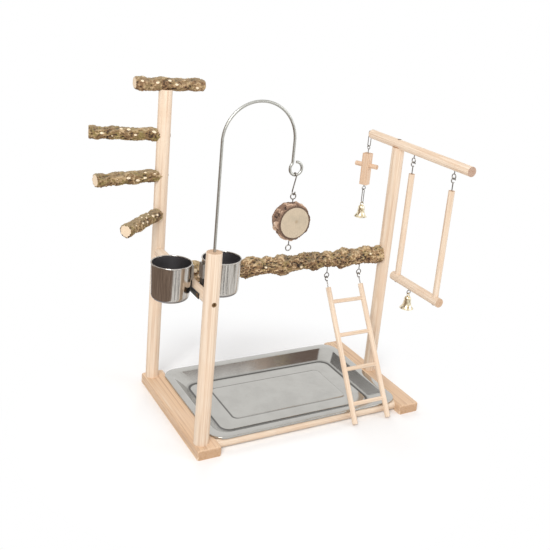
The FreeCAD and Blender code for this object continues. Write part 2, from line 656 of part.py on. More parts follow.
hem = soft_block("tray_hem_outer", cell("tray_length"), cell("tray_depth"), cell("tray_hem"),
                 at(0, tray_y, tray_low), size("tray_corner"))
hem_inside = soft_block("tray_hem_inner", "Sizes.tray_length - 2 * Sizes.tray_sheet",
                        "Sizes.tray_depth - 2 * Sizes.tray_sheet", "Sizes.tray_hem",
                        at(0, tray_y, tray_low - sheet_t), size("tray_corner") - sheet_t)
flange = cut("tray_flange", hem, [hem_inside])
pan_floor = size("tray_floor_height")
pan_out = pan("tray_pan_out", 0, pan_floor - sheet_t, tray_top)
pan_in = pan("tray_pan_in", -sheet_t, pan_floor, tray_top + sheet_t)
panel = soft_block("tray_panel", cell("tray_panel_length"), cell("tray_panel_depth"),
                   cell("tray_panel_rise"), at(0, tray_y, pan_floor), size("tray_pan_corner") / 2)
hollow = soft_block("tray_panel_hollow", "Sizes.tray_panel_length - 2 * Sizes.tray_sheet",
                    "Sizes.tray_panel_depth - 2 * Sizes.tray_sheet", cell("tray_panel_rise"),
                    at(0, tray_y, pan_floor - sheet_t), size("tray_pan_corner") / 2 - sheet_t)
tray_solid = fuse("tray_solid", [flange, pan_out])
tray_open = cut("tray_open", tray_solid, [pan_in])
tray_pressed = fuse("tray_pressed", [tray_open, panel])
piece("drip_tray", cut("drip_tray_whole", tray_pressed, [hollow]))

# ---------------------------------------------------------------- ladder

pivot = at(0, right_y, ladder_eye_z - size("eye_dia") / 2)
rim_front = at(0, tray_y - size("tray_depth") / 2, tray_top)
leg_r = size("ladder_leg_dia") / 2
rim_way = math.hypot(pivot.y - rim_front.y, pivot.z - rim_front.z)
rim_angle = math.atan2(pivot.y - rim_front.y, pivot.z - rim_front.z)
lean = rim_angle + math.asin((leg_r + size("seat_gap")) / rim_way)
down_leg = V(0, -math.sin(lean), -math.cos(lean))
leg_start = size("ladder_leg_start")
leg_end = (pivot.z - leg_r * math.sin(lean)) / math.cos(lean)
leg_length = leg_end - leg_start
anchors["ladder_swing"] = pivot

leg_xs = [pivot.x + x for x in ladder_xs]
rungs = []
for i in range(int(size("ladder_rungs"))):
    along = size("ladder_first_rung") + i * size("ladder_rung_pitch")
    inner = leg_r - size("rung_tenon")
    start = V(leg_xs[0] + inner, pivot.y, pivot.z) + down_leg * along
    rung = rod("rung_rod%d" % i, cell("ladder_rung_dia"), "%.3f" % (size("ladder_pitch") - 2 * inner),
               start, X)
    rungs.append(piece("ladder_rung_%d" % (i + 1), rung))

ladder_hooks = []
for name, x in zip(("left", "right"), leg_xs):
    seat = V(x, pivot.y, pivot.z)
    centre = hanging_centre(seat, "hook_dia", "hook_wire_dia", "eye_wire_dia", down_leg)
    turn = FreeCAD.Rotation(X, math.degrees(-lean) - 20) * FreeCAD.Rotation(Z, X)
    reach = leg_start + size("eye_shank") - (centre + down_leg * (size("hook_dia") / 2) - seat).Length
    hook = open_hook(name + "_ladder_hook", centre, turn, down_leg, reach)
    ladder_hooks.append(hook)
    leg = rod(name + "_leg_rod", cell("ladder_leg_dia"), "%.3f" % leg_length,
              seat + down_leg * leg_start, down_leg)
    piece("ladder_%s_leg" % name, cut(name + "_leg_bored", leg, rungs + [hook]))
piece("ladder_hooks", group("ladder_hook_set", ladder_hooks))

# ---------------------------------------------------------------- bells


def bell(name, seat, seat_wire, loop_axis):
    """Flared bell under seat, with its own loop on top and a clapper on an inner loop."""
    loop_centre = hanging_centre(seat, "bell_loop_dia", "small_eye_wire_dia", seat_wire)
    loop = ring(name + "_loop", cell("bell_loop_dia"), cell("small_eye_wire_dia"), loop_centre, loop_axis)
    crown = loop_centre - Z * (size("bell_loop_dia") / 2 + 0.3)
    tall, mouth = size("bell_height"), size("bell_mouth_dia")
    outline = ((0, 0.62), (0.1, 0.96), (0.35, 1.12), (0.7, 1.36), (0.9, 1.8), (1, 2.15))

    def wall(inset, shape_name):
        stations = []
        for down, width in outline:
            if width > 2:
                radius = "Sizes.bell_mouth_dia / 2 - %.3f" % inset
            else:
                radius = "Sizes.bell_crown_dia / 2 * %.3f - %.3f" % (width, inset)
            stations.append((tall * down, radius, (0, 0)))
        return skin(shape_name, stations, crown - Z * inset, -Z)

    outer = wall(0, name + "_outer")
    inner = wall(size("bell_wall"), name + "_inner")
    shell = cut(name + "_shell", outer, [inner])
    staple_centre = crown - Z * (size("bell_wall") + size("small_eye_wire_dia"))
    staple = ring(name + "_staple", "3.6", "1.2", staple_centre, loop_axis)
    boss = rod(name + "_boss", "2.5 * Sizes.small_eye_wire_dia", "Sizes.bell_wall + 1.3",
               crown - Z * (size("bell_wall") + 0.4))
    piece(name, fuse(name + "_whole", [shell, boss, loop, staple]))
    cross = Y if abs(loop_axis.x) > 0.5 else X
    pin = staple_centre - Z * 1.8
    clapper_ring_centre = pin - Z * (0.7 - size("seat_gap"))
    clapper_ring = ring(name + "_clapper_ring", "3.6", "1", clapper_ring_centre, cross)
    drop = size("clapper_drop")
    stem = rod(name + "_stem", "1.2", "%.3f" % (drop - 5), clapper_ring_centre - Z * 1.8, -Z)
    weight = ball(name + "_weight", cell("clapper_dia"), crown - Z * drop)
    piece(name + "_clapper", fuse(name + "_clapper_whole", [clapper_ring, stem, weight]))
    anchors[name + "_swing"] = seat
    anchors[name + "_clapper_swing"] = pin
    return crown


# ---------------------------------------------------------------- swing

swing_seat_z = swing_eye_z - size("eye_dia") / 2
anchors["swing_swing"] = at(post_x, (swing_ys[0] + swing_ys[1]) / 2, swing_seat_z)
swing_hooks = []
side_top_z = swing_seat_z - size("swing_hook_shank") - size("hook_dia")
perch_z = side_top_z - size("swing_side_length") - size("swing_perch_dia") / 2 + size("saddle_depth")
swing_mid_y = (swing_ys[0] + swing_ys[1]) / 2
swing_stick = rod("swing_stick", cell("swing_perch_dia"), cell("swing_perch_length"),
                  at(post_x, swing_mid_y - size("swing_perch_length") / 2, perch_z), Y)
swing_screws = []
for name, y in zip(("front", "rear"), swing_ys):
    seat = at(post_x, y, swing_seat_z)
    centre = hanging_centre(seat, "hook_dia", "hook_wire_dia", "eye_wire_dia")
    turn = FreeCAD.Rotation(Y, 60) * FreeCAD.Rotation(Z, Y)
    reach = centre.z - size("hook_dia") / 2 - side_top_z + size("eye_shank")
    hook = open_hook(name + "_swing_hook", centre, turn, -Z, reach)
    swing_hooks.append(hook)
    fixing = screw(name + "_swing_screw", at(post_x, y, perch_z - size("swing_perch_dia") / 2), Z,
                   "screw_length", "small_screw_dia")
    swing_screws.append(fixing)
    stick = rod(name + "_swing_side_rod", cell("swing_side_dia"), cell("swing_side_length"),
                at(post_x, y, side_top_z), -Z)
    piece("swing_%s_side" % name, cut(name + "_swing_side_bored", stick, [hook, fixing, swing_stick]))
piece("swing_hooks", group("swing_hook_set", swing_hooks))
piece("swing_screws", group("swing_screw_set", swing_screws))
bell_y = swing_mid_y + size("bell_set_back")
bell_eye_z = perch_z - size("swing_perch_dia") / 2 - 6
bell_eye_centre = at(post_x, bell_y, bell_eye_z)
bell_eye = piece("swing_bell_eye", screw_eye("swing_bell_eye_whole", bell_eye_centre, Z, Y,
                                             size("eye_shank") + 2, "small_eye_dia", "small_eye_wire_dia"))
piece("swing_perch", cut("swing_perch_bored", swing_stick, swing_screws + [bell_eye]))
bell("swing_bell", bell_eye_centre - Z * (size("small_eye_dia") / 2), "small_eye_wire_dia", X)

# ---------------------------------------------------------------- hanging toy


def oval_link(name, seat, seat_wire, straight, across):
    """Closed link on the seat wire, in the upright plane of across and Z."""
    bend_r = size("link_bend_dia") / 2
    top = hanging_centre(seat, "link_bend_dia", "link_wire_dia", seat_wire)
    low = top - Z * straight
    edges = [
        line(low + across * bend_r, top + across * bend_r),
        arc(top, bend_r, 0, 180, across),
        line(top - across * bend_r, low - across * bend_r),
        arc(low, bend_r, 180, 360, across),
    ]
    piece(name, bent_wire(name + "_sweep", cell("link_wire_dia"), edges))
    anchors[name + "_swing"] = seat
    return low - Z * bend_r


toy_seat = toy_eye_centre - Z * (size("eye_dia") / 2)
link_low = oval_link("toy_link", toy_seat, "eye_wire_dia", size("toy_link_length"), X)
anchors["toy_block_swing"] = link_low
upper_eye = hanging_centre(link_low, "small_eye_dia", "small_eye_wire_dia", "link_wire_dia")
block_top = upper_eye - Z * (size("small_eye_dia") / 2 + size("eye_shank"))
block_low = block_top - Z * size("toy_block_height")
toy_top_eye = piece("toy_top_eye", screw_eye("toy_upper_eye", upper_eye, -Z, X,
                                             2 * size("eye_shank"), "small_eye_dia", "small_eye_wire_dia"))
lower_eye = block_low - Z * (size("small_eye_dia") / 2 + size("eye_shank") / 2)
toy_bottom_eye = piece("toy_bottom_eye", screw_eye("toy_lower_eye", lower_eye, Z, Y,
                                                   1.5 * size("eye_shank"), "small_eye_dia",
                                                   "small_eye_wire_dia"))
peg_way = FreeCAD.Rotation(Z, size("toy_turn_angle")).multVec(-Y)
peg_centre = (block_top * 0.62) + (block_low * 0.38)
peg = piece("toy_peg", rod("toy_peg_rod", cell("toy_peg_dia"), cell("toy_peg_length"),
                           peg_centre - peg_way * (size("toy_peg_length") / 2), peg_way))
block_stick = soft_block("toy_block_stick", cell("toy_block_width"), cell("toy_block_width"),
                         cell("toy_block_height"), block_low, 1.5, size("toy_turn_angle"))
piece("toy_block", cut("toy_block_bored", block_stick, [peg, toy_top_eye, toy_bottom_eye]))
lower_seat = lower_eye - Z * (size("small_eye_dia") / 2)
bell_seat = oval_link("toy_bell_link", lower_seat, "small_eye_wire_dia", size("toy_bell_link_length"), Y)
bell("toy_bell", bell_seat, "link_wire_dia", Y)

# ---------------------------------------------------------------- check and export

doc.recompute()
for thing in doc.Objects:
    for state in ("Invalid", "Error"):
        if state in thing.State:
            raise RuntimeError("%s is %s" % (thing.Label, state))

os.makedirs("parts", exist_ok=True)
for node in nodes:
    if node.Shape.isNull() or not node.Shape.isValid():
        raise RuntimeError("%s has no valid shape" % node.Label)
    node.Shape.exportStep("parts/%s.step" % node.Label)
print("sub-parts", len(nodes), "solids", sum(len(node.Shape.Solids) for node in nodes))
for name, point in anchors.items():
    print("pivot", name, [round(c, 3) for c in point])
print("ladder's lean", round(math.degrees(lean), 3))
print("middle of the outline", [round(c, 3) for c in middle])
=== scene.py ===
# %% [markdown]
# # Dressing a parrot's play stand
# The stand is two base boards, three dowel posts, bark perches, a steel tray, two cups, a ladder,
# a swing and two hanging toys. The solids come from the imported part. Here they get their finishes,
# and the pieces whose surface is the point of them, such as bark, are made again in detail.

import json
import math

import bpy
import numpy as np
from mathutils import Matrix, Vector


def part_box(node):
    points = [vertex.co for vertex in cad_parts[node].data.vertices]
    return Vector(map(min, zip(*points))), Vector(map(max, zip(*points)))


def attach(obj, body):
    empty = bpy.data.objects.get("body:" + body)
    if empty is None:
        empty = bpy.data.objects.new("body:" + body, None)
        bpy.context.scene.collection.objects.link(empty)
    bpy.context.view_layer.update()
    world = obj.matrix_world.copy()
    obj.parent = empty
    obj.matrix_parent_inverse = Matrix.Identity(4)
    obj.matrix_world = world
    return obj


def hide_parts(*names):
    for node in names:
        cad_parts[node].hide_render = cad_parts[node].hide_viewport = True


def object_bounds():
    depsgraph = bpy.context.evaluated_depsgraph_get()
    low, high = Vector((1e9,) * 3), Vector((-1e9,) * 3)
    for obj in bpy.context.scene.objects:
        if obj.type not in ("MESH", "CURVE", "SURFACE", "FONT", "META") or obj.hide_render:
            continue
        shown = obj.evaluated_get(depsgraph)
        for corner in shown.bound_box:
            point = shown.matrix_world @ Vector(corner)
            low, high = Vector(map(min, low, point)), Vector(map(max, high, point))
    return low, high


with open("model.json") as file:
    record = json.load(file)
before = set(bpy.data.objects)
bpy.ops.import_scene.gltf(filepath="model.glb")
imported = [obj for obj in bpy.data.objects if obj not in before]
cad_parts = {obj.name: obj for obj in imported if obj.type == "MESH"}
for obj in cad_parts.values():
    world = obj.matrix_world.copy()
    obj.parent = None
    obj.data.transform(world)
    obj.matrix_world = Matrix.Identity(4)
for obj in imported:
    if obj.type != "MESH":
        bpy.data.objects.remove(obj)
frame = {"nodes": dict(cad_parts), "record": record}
nodes = frame["nodes"]
cad_low, cad_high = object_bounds()
MM = 0.001
link = bpy.context.scene.collection.objects.link
print("nodes", len(nodes), "size in mm", [round((h - l) * 1000, 1) for l, h in zip(cad_low, cad_high)])

# %% [markdown]
# The camera stands to the left of the stand's front, about a metre and a half away and higher than
# the tray. It could be placed by eye, but here its place and turn were worked out from the places
# of the posts, boards and tray corners in the picture, so the parts fall where the picture has them.

# %% Camera
camera_place = Vector((-0.683513, -1.230374, 0.81908))
yaw, pitch, roll = 0.5603, 0.290, 0.107
ahead = Vector((math.sin(yaw) * math.cos(pitch), math.cos(yaw) * math.cos(pitch), -math.sin(pitch)))
level_right = Vector((math.cos(yaw), -math.sin(yaw), 0))
level_up = level_right.cross(ahead)
right = math.cos(roll) * level_right + math.sin(roll) * level_up
up = -math.sin(roll) * level_right + math.cos(roll) * level_up
camera = bpy.data.objects.new("camera", bpy.data.cameras.new("camera"))
link(camera)
camera.data.sensor_width, camera.data.lens = 36, 52.5
camera.data.shift_x, camera.data.shift_y = -0.0749, -0.1062
turn = Matrix((right, up, -ahead)).transposed().to_4x4()
camera.matrix_world = Matrix.Translation(camera_place) @ turn
bpy.context.scene.camera = camera
bpy.context.scene.view_settings.view_transform = "Standard"
stand_middle = (cad_low + cad_high) / 2
print("camera to the stand's middle in m:", round((camera_place - stand_middle).length, 3))

# %% [markdown]
# A finish is a tree of nodes. Wiring them one by one hides the sum that they work out, so one small
# class wraps a socket and gives it the signs of arithmetic: an expression adds its own Math nodes.
# Every other node comes from one method that takes its type, its settings and its inputs.


# %% A socket that does sums
def signs(operation):
    """A sign of arithmetic and its reflected form, each of which adds a Math node."""
    return (lambda self, other: self.tree.maths(operation, self, other),
            lambda self, other: self.tree.maths(operation, other, self))


class Field:
    """A value that varies over a surface, with the signs +, -, * and / from either side."""

    __add__, __radd__ = signs("ADD")
    __sub__, __rsub__ = signs("SUBTRACT")
    __mul__, __rmul__ = signs("MULTIPLY")
    __truediv__, __rtruediv__ = signs("DIVIDE")

    def __init__(self, tree, socket):
        self.tree, self.socket = tree, socket


class Tree:
    """The node tree of one finish, light or sky."""

    def __init__(self, owner):
        owner.use_nodes = True
        self.nodes, self.links = owner.node_tree.nodes, owner.node_tree.links
        self.nodes.clear()

    def node(self, kind, settings=None, inputs=None, output=0):
        """Adds a node: settings first, then the inputs. Gives one output, by its number or name."""
        made = self.nodes.new(kind)
        for name, value in (settings or {}).items():
            setattr(made, name, value)
        for name, value in (inputs or {}).items():
            if isinstance(value, Field):
                self.links.new(value.socket, made.inputs[name])
            else:
                made.inputs[name].default_value = value
        return Field(self, made.outputs[output]) if made.outputs else made

    def maths(self, operation, first, second=0.0):
        return self.node("ShaderNodeMath", {"operation": operation}, {0: first, 1: second})

    def vector(self, operation, first, second=(0, 0, 0), output=0):
        return self.node("ShaderNodeVectorMath", {"operation": operation}, {0: first, 1: second}, output)

    def length(self, place):
        return self.vector("LENGTH", place, output="Value")

    def stretch(self, place, *shares):
        """A place times a share for each axis. A pattern on it is drawn out where a share is small."""
        return self.vector("MULTIPLY", place, shares)

    def mix(self, share, first, second):
        """Blends two colours by a share. The node's sockets 6 and 7 and its output 2 are colours."""
        return self.node("ShaderNodeMix", {"data_type": "RGBA"}, {0: share, 6: first, 7: second}, 2)

    def tint(self, colour, grey):
        """A colour times a grey value that varies."""
        return self.node("ShaderNodeMix", {"data_type": "RGBA", "blend_type": "MULTIPLY"},
                         {0: 1.0, 6: colour, 7: grey}, 2)

    def step(self, value, low, high):
        """Smooth rise from 0 to 1 while value goes from low to high."""
        return self.node("ShaderNodeMapRange", {"interpolation_type": "SMOOTHSTEP"},
                         {0: value, 1: low, 2: high})

    def noise(self, place, scale, detail, rough=0.5):
        return self.node("ShaderNodeTexNoise", {}, {"Vector": place, "Scale": scale, "Detail": detail,
                                                    "Roughness": rough})


def rgb(red, green, blue):
    """A screen colour from 0 to 255 as the linear colour that a shader takes."""
    parts = [c / 255 for c in (red, green, blue)]
    return tuple(c / 12.92 if c <= 0.04045 else ((c + 0.055) / 1.055) ** 2.4 for c in parts) + (1.0,)


print("pale wood is", [round(c, 3) for c in rgb(244, 219, 192)])

# %% [markdown]
# Most finishes end in one Principled shader. The finish class makes it, and gives the two things
# that every pattern here starts from: Object coordinates, which are the stand's own metres because
# every piece sits at the origin, and the same coordinates centred on a piece with the grain along Z.


# %% A finish and its coordinates
class Finish(Tree):
    """A material that ends in one Principled shader, with the values that stay fixed over it."""

    def __init__(self, name, **fixed):
        self.material = bpy.data.materials.new(name)
        super().__init__(self.material)
        self.shader = self.nodes.new("ShaderNodeBsdfPrincipled")
        end = self.nodes.new("ShaderNodeOutputMaterial")
        self.links.new(self.shader.outputs[0], end.inputs[0])
        for name, value in fixed.items():
            self.shader.inputs[name.replace("_", " ")].default_value = value
        self.place = self.node("ShaderNodeTexCoord", output="Object")
        self.normal = self.node("ShaderNodeTexCoord", output="Normal")

    def grain(self, centre, along):
        """Object coordinates centred on a point and turned so that the direction along is Z."""
        turned = Vector(along).to_track_quat("Z", "Y").to_euler()
        return self.node("ShaderNodeMapping", {"vector_type": "TEXTURE"},
                         {"Vector": self.place, "Location": centre, "Rotation": turned})

    def facing(self, direction):
        """How far the surface faces a direction: 1 towards it, -1 away from it."""
        return self.vector("DOT_PRODUCT", self.normal, direction, "Value")

    def attribute(self, name):
        """A value kept on the mesh's points."""
        return self.node("ShaderNodeAttribute", {"attribute_name": name}, output="Fac")

    def bump(self, height, distance, strength):
        """Raises the surface by a height from 0 to 1 times a distance in metres."""
        bumped = self.node("ShaderNodeBump", {}, {"Height": height, "Distance": distance,
                                                  "Strength": strength})
        self.feed(Normal=bumped)

    def feed(self, **sockets):
        """Links values to the shader's sockets and gives the material."""
        for name, value in sockets.items():
            self.links.new(value.socket, self.shader.inputs[name.replace("_", " ")])
        return self.material


def middle(node):
    """The middle of a solid's box."""
    low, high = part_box(node)
    return (low + high) / 2


print("tall post's axis in mm", [round(c * 1000, 1) for c in middle("tall_post")[:2]])

# %% [markdown]
# The floor is a plain pale studio sweep. Lamps bright enough to burn it white would bleach the pale
# wood, so the floor is white by its colour: lit at 1 it is white and still takes the soft shadow.
# Other rays than the camera's see a greyer floor, which throws less light up at the stand.
# Further out it fades into the white that the sky shows to the camera, so no horizon line is left.


# %% Floor
def new_piece(name, points, faces):
    """Links a new mesh object at the origin, from an array of points and a list of faces."""
    mesh = bpy.data.meshes.new(name)
    mesh.from_pydata(points.reshape(-1, 3).tolist(), [], faces)
    made = bpy.data.objects.new(name, mesh)
    link(made)
    return made


def neighbours(rows, around):
    """The numbers of the points in rows of so many points round, and of the next point in each row."""
    i, j = np.meshgrid(np.arange(rows), np.arange(around), indexing="ij")
    return i * around + j, i * around + (j + 1) % around


def disc(name, radius, around=96):
    """A flat disc: rings at r = radius * t^2 for t from 0 to 1, corners at equal angles."""
    rings, angles = np.linspace(0.02, 1, 14) ** 2 * radius, np.linspace(0, 2 * np.pi, around, False)
    r, turn = np.meshgrid(rings, angles, indexing="ij")
    points = np.stack([r * np.cos(turn), r * np.sin(turn), np.zeros_like(r)], -1)
    a, b = neighbours(len(rings) - 1, around)
    quads = np.stack([a, a + around, b + around, b], -1).reshape(-1, 4)
    return new_piece(name, points, quads.tolist() + [list(range(around))])


floor_radius, fade_from, fade_to = 9.0, 0.28, 0.47
floor = disc("floor", floor_radius)
floor_paper = bpy.data.materials.new("floor")
floor_tree = Tree(floor_paper)
floor_place = floor_tree.node("ShaderNodeTexCoord", output="Object")
seen = floor_tree.node("ShaderNodeLightPath", output="Is Camera Ray")
paper = floor_tree.mix(seen, (0.8, 0.8, 0.8, 1), (1, 1, 1, 1))
speckle = floor_tree.noise(floor_place, 900, 3)
paper = floor_tree.tint(paper, 0.995 + 0.01 * speckle)
matt = floor_tree.node("ShaderNodeBsdfDiffuse", {}, {"Color": paper})
white = floor_tree.node("ShaderNodeEmission", {}, {"Color": (1, 1, 1, 1), "Strength": 1.0})
fade = floor_tree.step(floor_tree.length(floor_place), fade_from, fade_to)
blend = floor_tree.node("ShaderNodeMixShader", {}, {0: fade, 1: matt, 2: white})
floor_tree.node("ShaderNodeOutputMaterial", {}, {0: blend})
floor.data.materials.append(floor_paper)
print("floor reaches", floor_radius, "m")

# %% [markdown]
# A white sky would wash the steel out: in a studio, bright metal is drawn by the dark things round
# it. The sky shows white to the camera and in reflections and gives an even, weaker light, and three
# soft lamps give the shapes their shading. Cards that only reflections see stand at the left, lie on
# the floor and hang above and behind the stand: the cups' dark sides and the tray's streaks are these.

# %% Sky
world = bpy.data.worlds.new("studio")
bpy.context.scene.world = world
sky = Tree(world)
rays = [sky.node("ShaderNodeLightPath", output="Is %s Ray" % kind)
        for kind in ("Camera", "Glossy", "Transmission")]
shown = sky.maths("MAXIMUM", sky.maths("MAXIMUM", rays[0], rays[1]), rays[2])
sky_light = 0.56
bright = sky.mix(shown, (sky_light, sky_light, sky_light * 1.01, 1), (1, 1, 1, 1))
backdrop = sky.node("ShaderNodeBackground", {}, {"Color": bright, "Strength": 1.0})
sky.node("ShaderNodeOutputWorld", {}, {0: backdrop})
print("sky lights the stand at", sky_light)


# %% Lamps
def lamp(name, place, aim, size, watts, tint=(1, 1, 1)):
    """A square soft box at a place, turned to a point. Its watts are spread over the square."""
    light = bpy.data.lights.new(name, "AREA")
    light.shape, light.size, light.energy, light.color = "SQUARE", size, watts, tint
    made = bpy.data.objects.new(name, light)
    link(made)
    made.location = place
    made.rotation_euler = (Vector(aim) - Vector(place)).to_track_quat("-Z", "Y").to_euler()
    made.visible_camera = False
    return made


aim = (0.03, 0.02, 0.28)
lamp("key_lamp", (-1.5, -1.7, 2.1), aim, 1.1, 46, (1, 0.99, 0.975))
lamp("fill_lamp", (2.2, -1.6, 1.3), aim, 1.6, 14, (0.98, 0.99, 1))
lamp("back_lamp", (0.5, 2.1, 2.0), aim, 1.5, 16).visible_glossy = False
print("lamps", len(bpy.data.lights))


# %% Cards
def card(name, corner, along, upward, shade):
    """A flat card, a sheet of points corner + u * along + v * upward, seen by reflections alone."""
    u, v = np.meshgrid(np.linspace(0, 1, 3), np.linspace(0, 1, 3), indexing="ij")
    points = np.array(corner) + u[..., None] * np.array(along) + v[..., None] * np.array(upward)
    i, j = (g.ravel() for g in np.meshgrid(np.arange(2), np.arange(2), indexing="ij"))
    faces = np.stack([i * 3 + j, (i + 1) * 3 + j, (i + 1) * 3 + j + 1, i * 3 + j + 1], -1)
    made = new_piece(name, points, faces.tolist())
    paint = bpy.data.materials.new(name)
    felt = Tree(paint)
    glow = felt.node("ShaderNodeEmission", {}, {"Color": shade, "Strength": 1.0})
    felt.node("ShaderNodeOutputMaterial", {}, {0: glow})
    made.data.materials.append(paint)
    made.visible_camera = made.visible_diffuse = made.visible_shadow = False
    made.visible_transmission = made.visible_volume_scatter = False


# For each card: a corner, its two sides and its colour.
ground, ceiling = 0.002, 1.9
cards = {
    "left_card": ((-1.6, -1.5, 0), (0, 2.6, 0), (0, 0, 1.5), (138, 119, 106)),
    "left_floor_card": ((-1.6, -1.9, ground), (1.27, 0, 0), (0, 2.9, 0), (142, 123, 110)),
    "stripe_card": ((-0.18, -1.9, ground), (0.05, 0, 0), (0, 1.3, 0), (30, 28, 30)),
    "front_floor_card": ((0.02, -1.9, ground), (0.05, 0, 0), (0.03, 1.35, 0), (60, 56, 54)),
    "right_floor_card": ((0.5, -1.9, ground), (0.5, 0, 0), (0, 1.6, 0), (172, 168, 160)),
    "ceiling_card": ((1.0, -0.62, ceiling), (0.9, 0, 0), (0, 1.0, 0), (118, 97, 86)),
    "ceiling_streak": ((0.4, -0.42, ceiling), (0.6, 0, 0), (0, 0.16, 0), (128, 108, 96)),
    "ceiling_stripe": ((0.4, -0.02, ceiling), (0.6, 0, 0), (0, 0.14, 0), (118, 97, 86)),
    "far_card": ((-1.35, 1.8, 0.9), (1.15, 0, 0), (0, 0.1, 0.95), (58, 48, 44)),
}
for name, (corner, along, upward, shade) in cards.items():
    card(name, corner, along, upward, rgb(*shade))
print("cards", len(cards))

# %% [markdown]
# The posts, boards, bars and rungs are planed pine and birch. Painted streaks would look wrong on
# the cut ends, so the wood is solid all through: year rings lie round a heart line beside the piece,
# and a face shows stripes or arcs as it cuts them. Fine fibres run along the grain.


# %% Planed wood
def put(finish, slot, *names):
    """Gives solids a finish. The slot is not used."""
    for node in names:
        nodes[node].data.materials.clear()
        nodes[node].data.materials.append(finish)


def planed_wood(name, centre, along, heart, tone=0.0, early=(244, 223, 200), late=(222, 192, 160),
                pitch=0.0021, streaky=0.5, cut=(206, 160, 118)):
    """Rings: distance from the heart, bent by slow noise, in bands a pitch apart that go from the
    early to the late colour. Fibres: noise over thirty times longer along the grain than across."""
    f = Finish(name)
    local = f.grain(centre, along)
    slow = f.noise(f.stretch(local, 1, 1, 0.12), 26, 3)
    across = f.stretch(f.vector("ADD", local, (heart[0], heart[1], 0)), 1, 1, 0.02)
    phase = f.maths("FRACT", (f.length(across) + 0.006 * slow) / pitch)
    summer = f.step(phase, 0.25, 0.92) - f.step(phase, 0.93, 1.0)
    fibres = f.noise(f.stretch(local, 1, 1, 0.03), 1500, 3, 0.6)
    streaks = f.noise(f.stretch(local, 1, 1, 0.02), 260, 2)
    clouds = f.noise(local, 14, 2)
    end = f.step(f.maths("ABSOLUTE", f.facing(tuple(Vector(along).normalized()))), 0.75, 0.92)
    band = summer * (0.55 + 0.4 * end)
    colour = f.mix(band, rgb(*early), rgb(*late))
    colour = f.mix(f.step(streaks, 0.5, 0.7) * streaky, colour, rgb(204, 166, 134))
    colour = f.mix(f.step(streaks, 0.46, 0.3) * 0.4, colour, rgb(248, 232, 216))
    colour = f.mix(f.step(clouds, 0.45, 0.68) * 0.45, colour, rgb(234, 202, 172))
    colour = f.mix(end * (0.45 + 0.35 * summer), colour, rgb(*cut))
    colour = f.tint(colour, 1.0 + tone - 0.08 * end + 0.16 * (fibres - 0.5))
    f.bump(fibres * 0.6 + band * 0.4, 0.00025, 0.5)
    return f.feed(Base_Color=colour, Roughness=0.46 + 0.2 * fibres)


print("planed wood is ready")

# %% [markdown]
# Each length was sawn from another spot in a log. One finish for all would be quicker, but every
# post would show the same stripes, so each has its own heart line and tone.

# %% Straight pieces
X, Y, Z = (1, 0, 0), (0, 1, 0), (0, 0, 1)
leg_low, leg_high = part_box("ladder_left_leg")
lean = Vector((0, leg_high.y - leg_low.y, leg_high.z - leg_low.z)).normalized()
# For each piece: the way of its grain, how far its heart line lies beside its middle, and its tone.
straight = {
    "left_base_rail": (Y, (0.045, 0.03), -0.045), "right_base_rail": (Y, (-0.05, 0.028), -0.05),
    "front_cross_dowel": (X, (0.02, 0.01), -0.03), "rear_cross_dowel": (X, (0.015, 0.02), -0.03),
    "tall_post": (Z, (0.034, -0.02), 0.0), "cup_post": (Z, (-0.028, 0.03), -0.05),
    "right_post": (Z, (0.03, 0.025), -0.06), "cross_rail": (Y, (0.02, 0.02), -0.02),
    "top_bar": (Y, (0.022, 0.028), 0.0), "ladder_left_leg": (lean, (0.016, 0.02), 0.01),
    "ladder_right_leg": (lean, (-0.018, 0.017), 0.0), "ladder_rung_1": (X, (0.012, 0.015), 0.0),
    "ladder_rung_2": (X, (0.017, -0.01), 0.01), "ladder_rung_3": (X, (-0.014, 0.012), -0.01),
    "ladder_rung_4": (X, (0.01, 0.02), 0.0), "swing_perch": (Y, (0.02, 0.018), -0.06),
    "swing_front_side": (Z, (0.014, 0.02), -0.06), "swing_rear_side": (Z, (-0.018, 0.014), -0.05),
}
orange_pine = {"early": (238, 206, 172), "late": (206, 160, 118), "streaky": 0.85}
dark_ends = {"cut": (150, 98, 74)}
for node, (along, offset, tone) in straight.items():
    timber = orange_pine if "base_rail" in node else dark_ends if node == "top_bar" else {}
    put(planed_wood("pine_" + node, middle(node), along, offset, tone, **timber), "planed_wood", node)
birch = {"early": (230, 200, 172), "late": (212, 174, 142), "pitch": 0.0016}
for node, along, offset in (("toy_block", Z, (0.02, 0.016)), ("toy_peg", Y, (0.012, 0.02))):
    put(planed_wood("birch_" + node, middle(node), along, offset, **birch), "toy_wood", node)
print("planed pieces", len(straight) + 2)
print("ladder leans in degrees", round(math.degrees(math.atan2(lean.y, lean.z)), 1))

# %% [markdown]
# The perches are sticks with their bark on, from a tree whose thorns were cut off: each leaves a
# pale knot. A smooth tube with a bark picture would have a smooth outline, so the relief is real:
# plates, ridges and knots are heights on a grid of two parameters, along the stick and round it.


# %% Bark relief
def lumps(along, turns, pitch, count, seed):
    """Smooth random heights from 0 to 1: seeded numbers on a lattice a pitch apart along the stick
    and count to a turn, which wraps, blended between neighbours by t * t * (3 - 2 * t)."""
    rows = int(along.max() / pitch) + 4
    table = np.random.default_rng(seed).random((rows, count))
    u, v = along / pitch + 1, turns * count
    i, j = np.floor(u).astype(int), np.floor(v).astype(int)
    s, t = u - i, v - j
    s, t = s * s * (3 - 2 * s), t * t * (3 - 2 * t)
    i, j, k = np.clip(i, 0, rows - 2), j % count, (j + 1) % count
    low = table[i, j] * (1 - t) + table[i, k] * t
    high = table[i + 1, j] * (1 - t) + table[i + 1, k] * t
    return low * (1 - s) + high * s


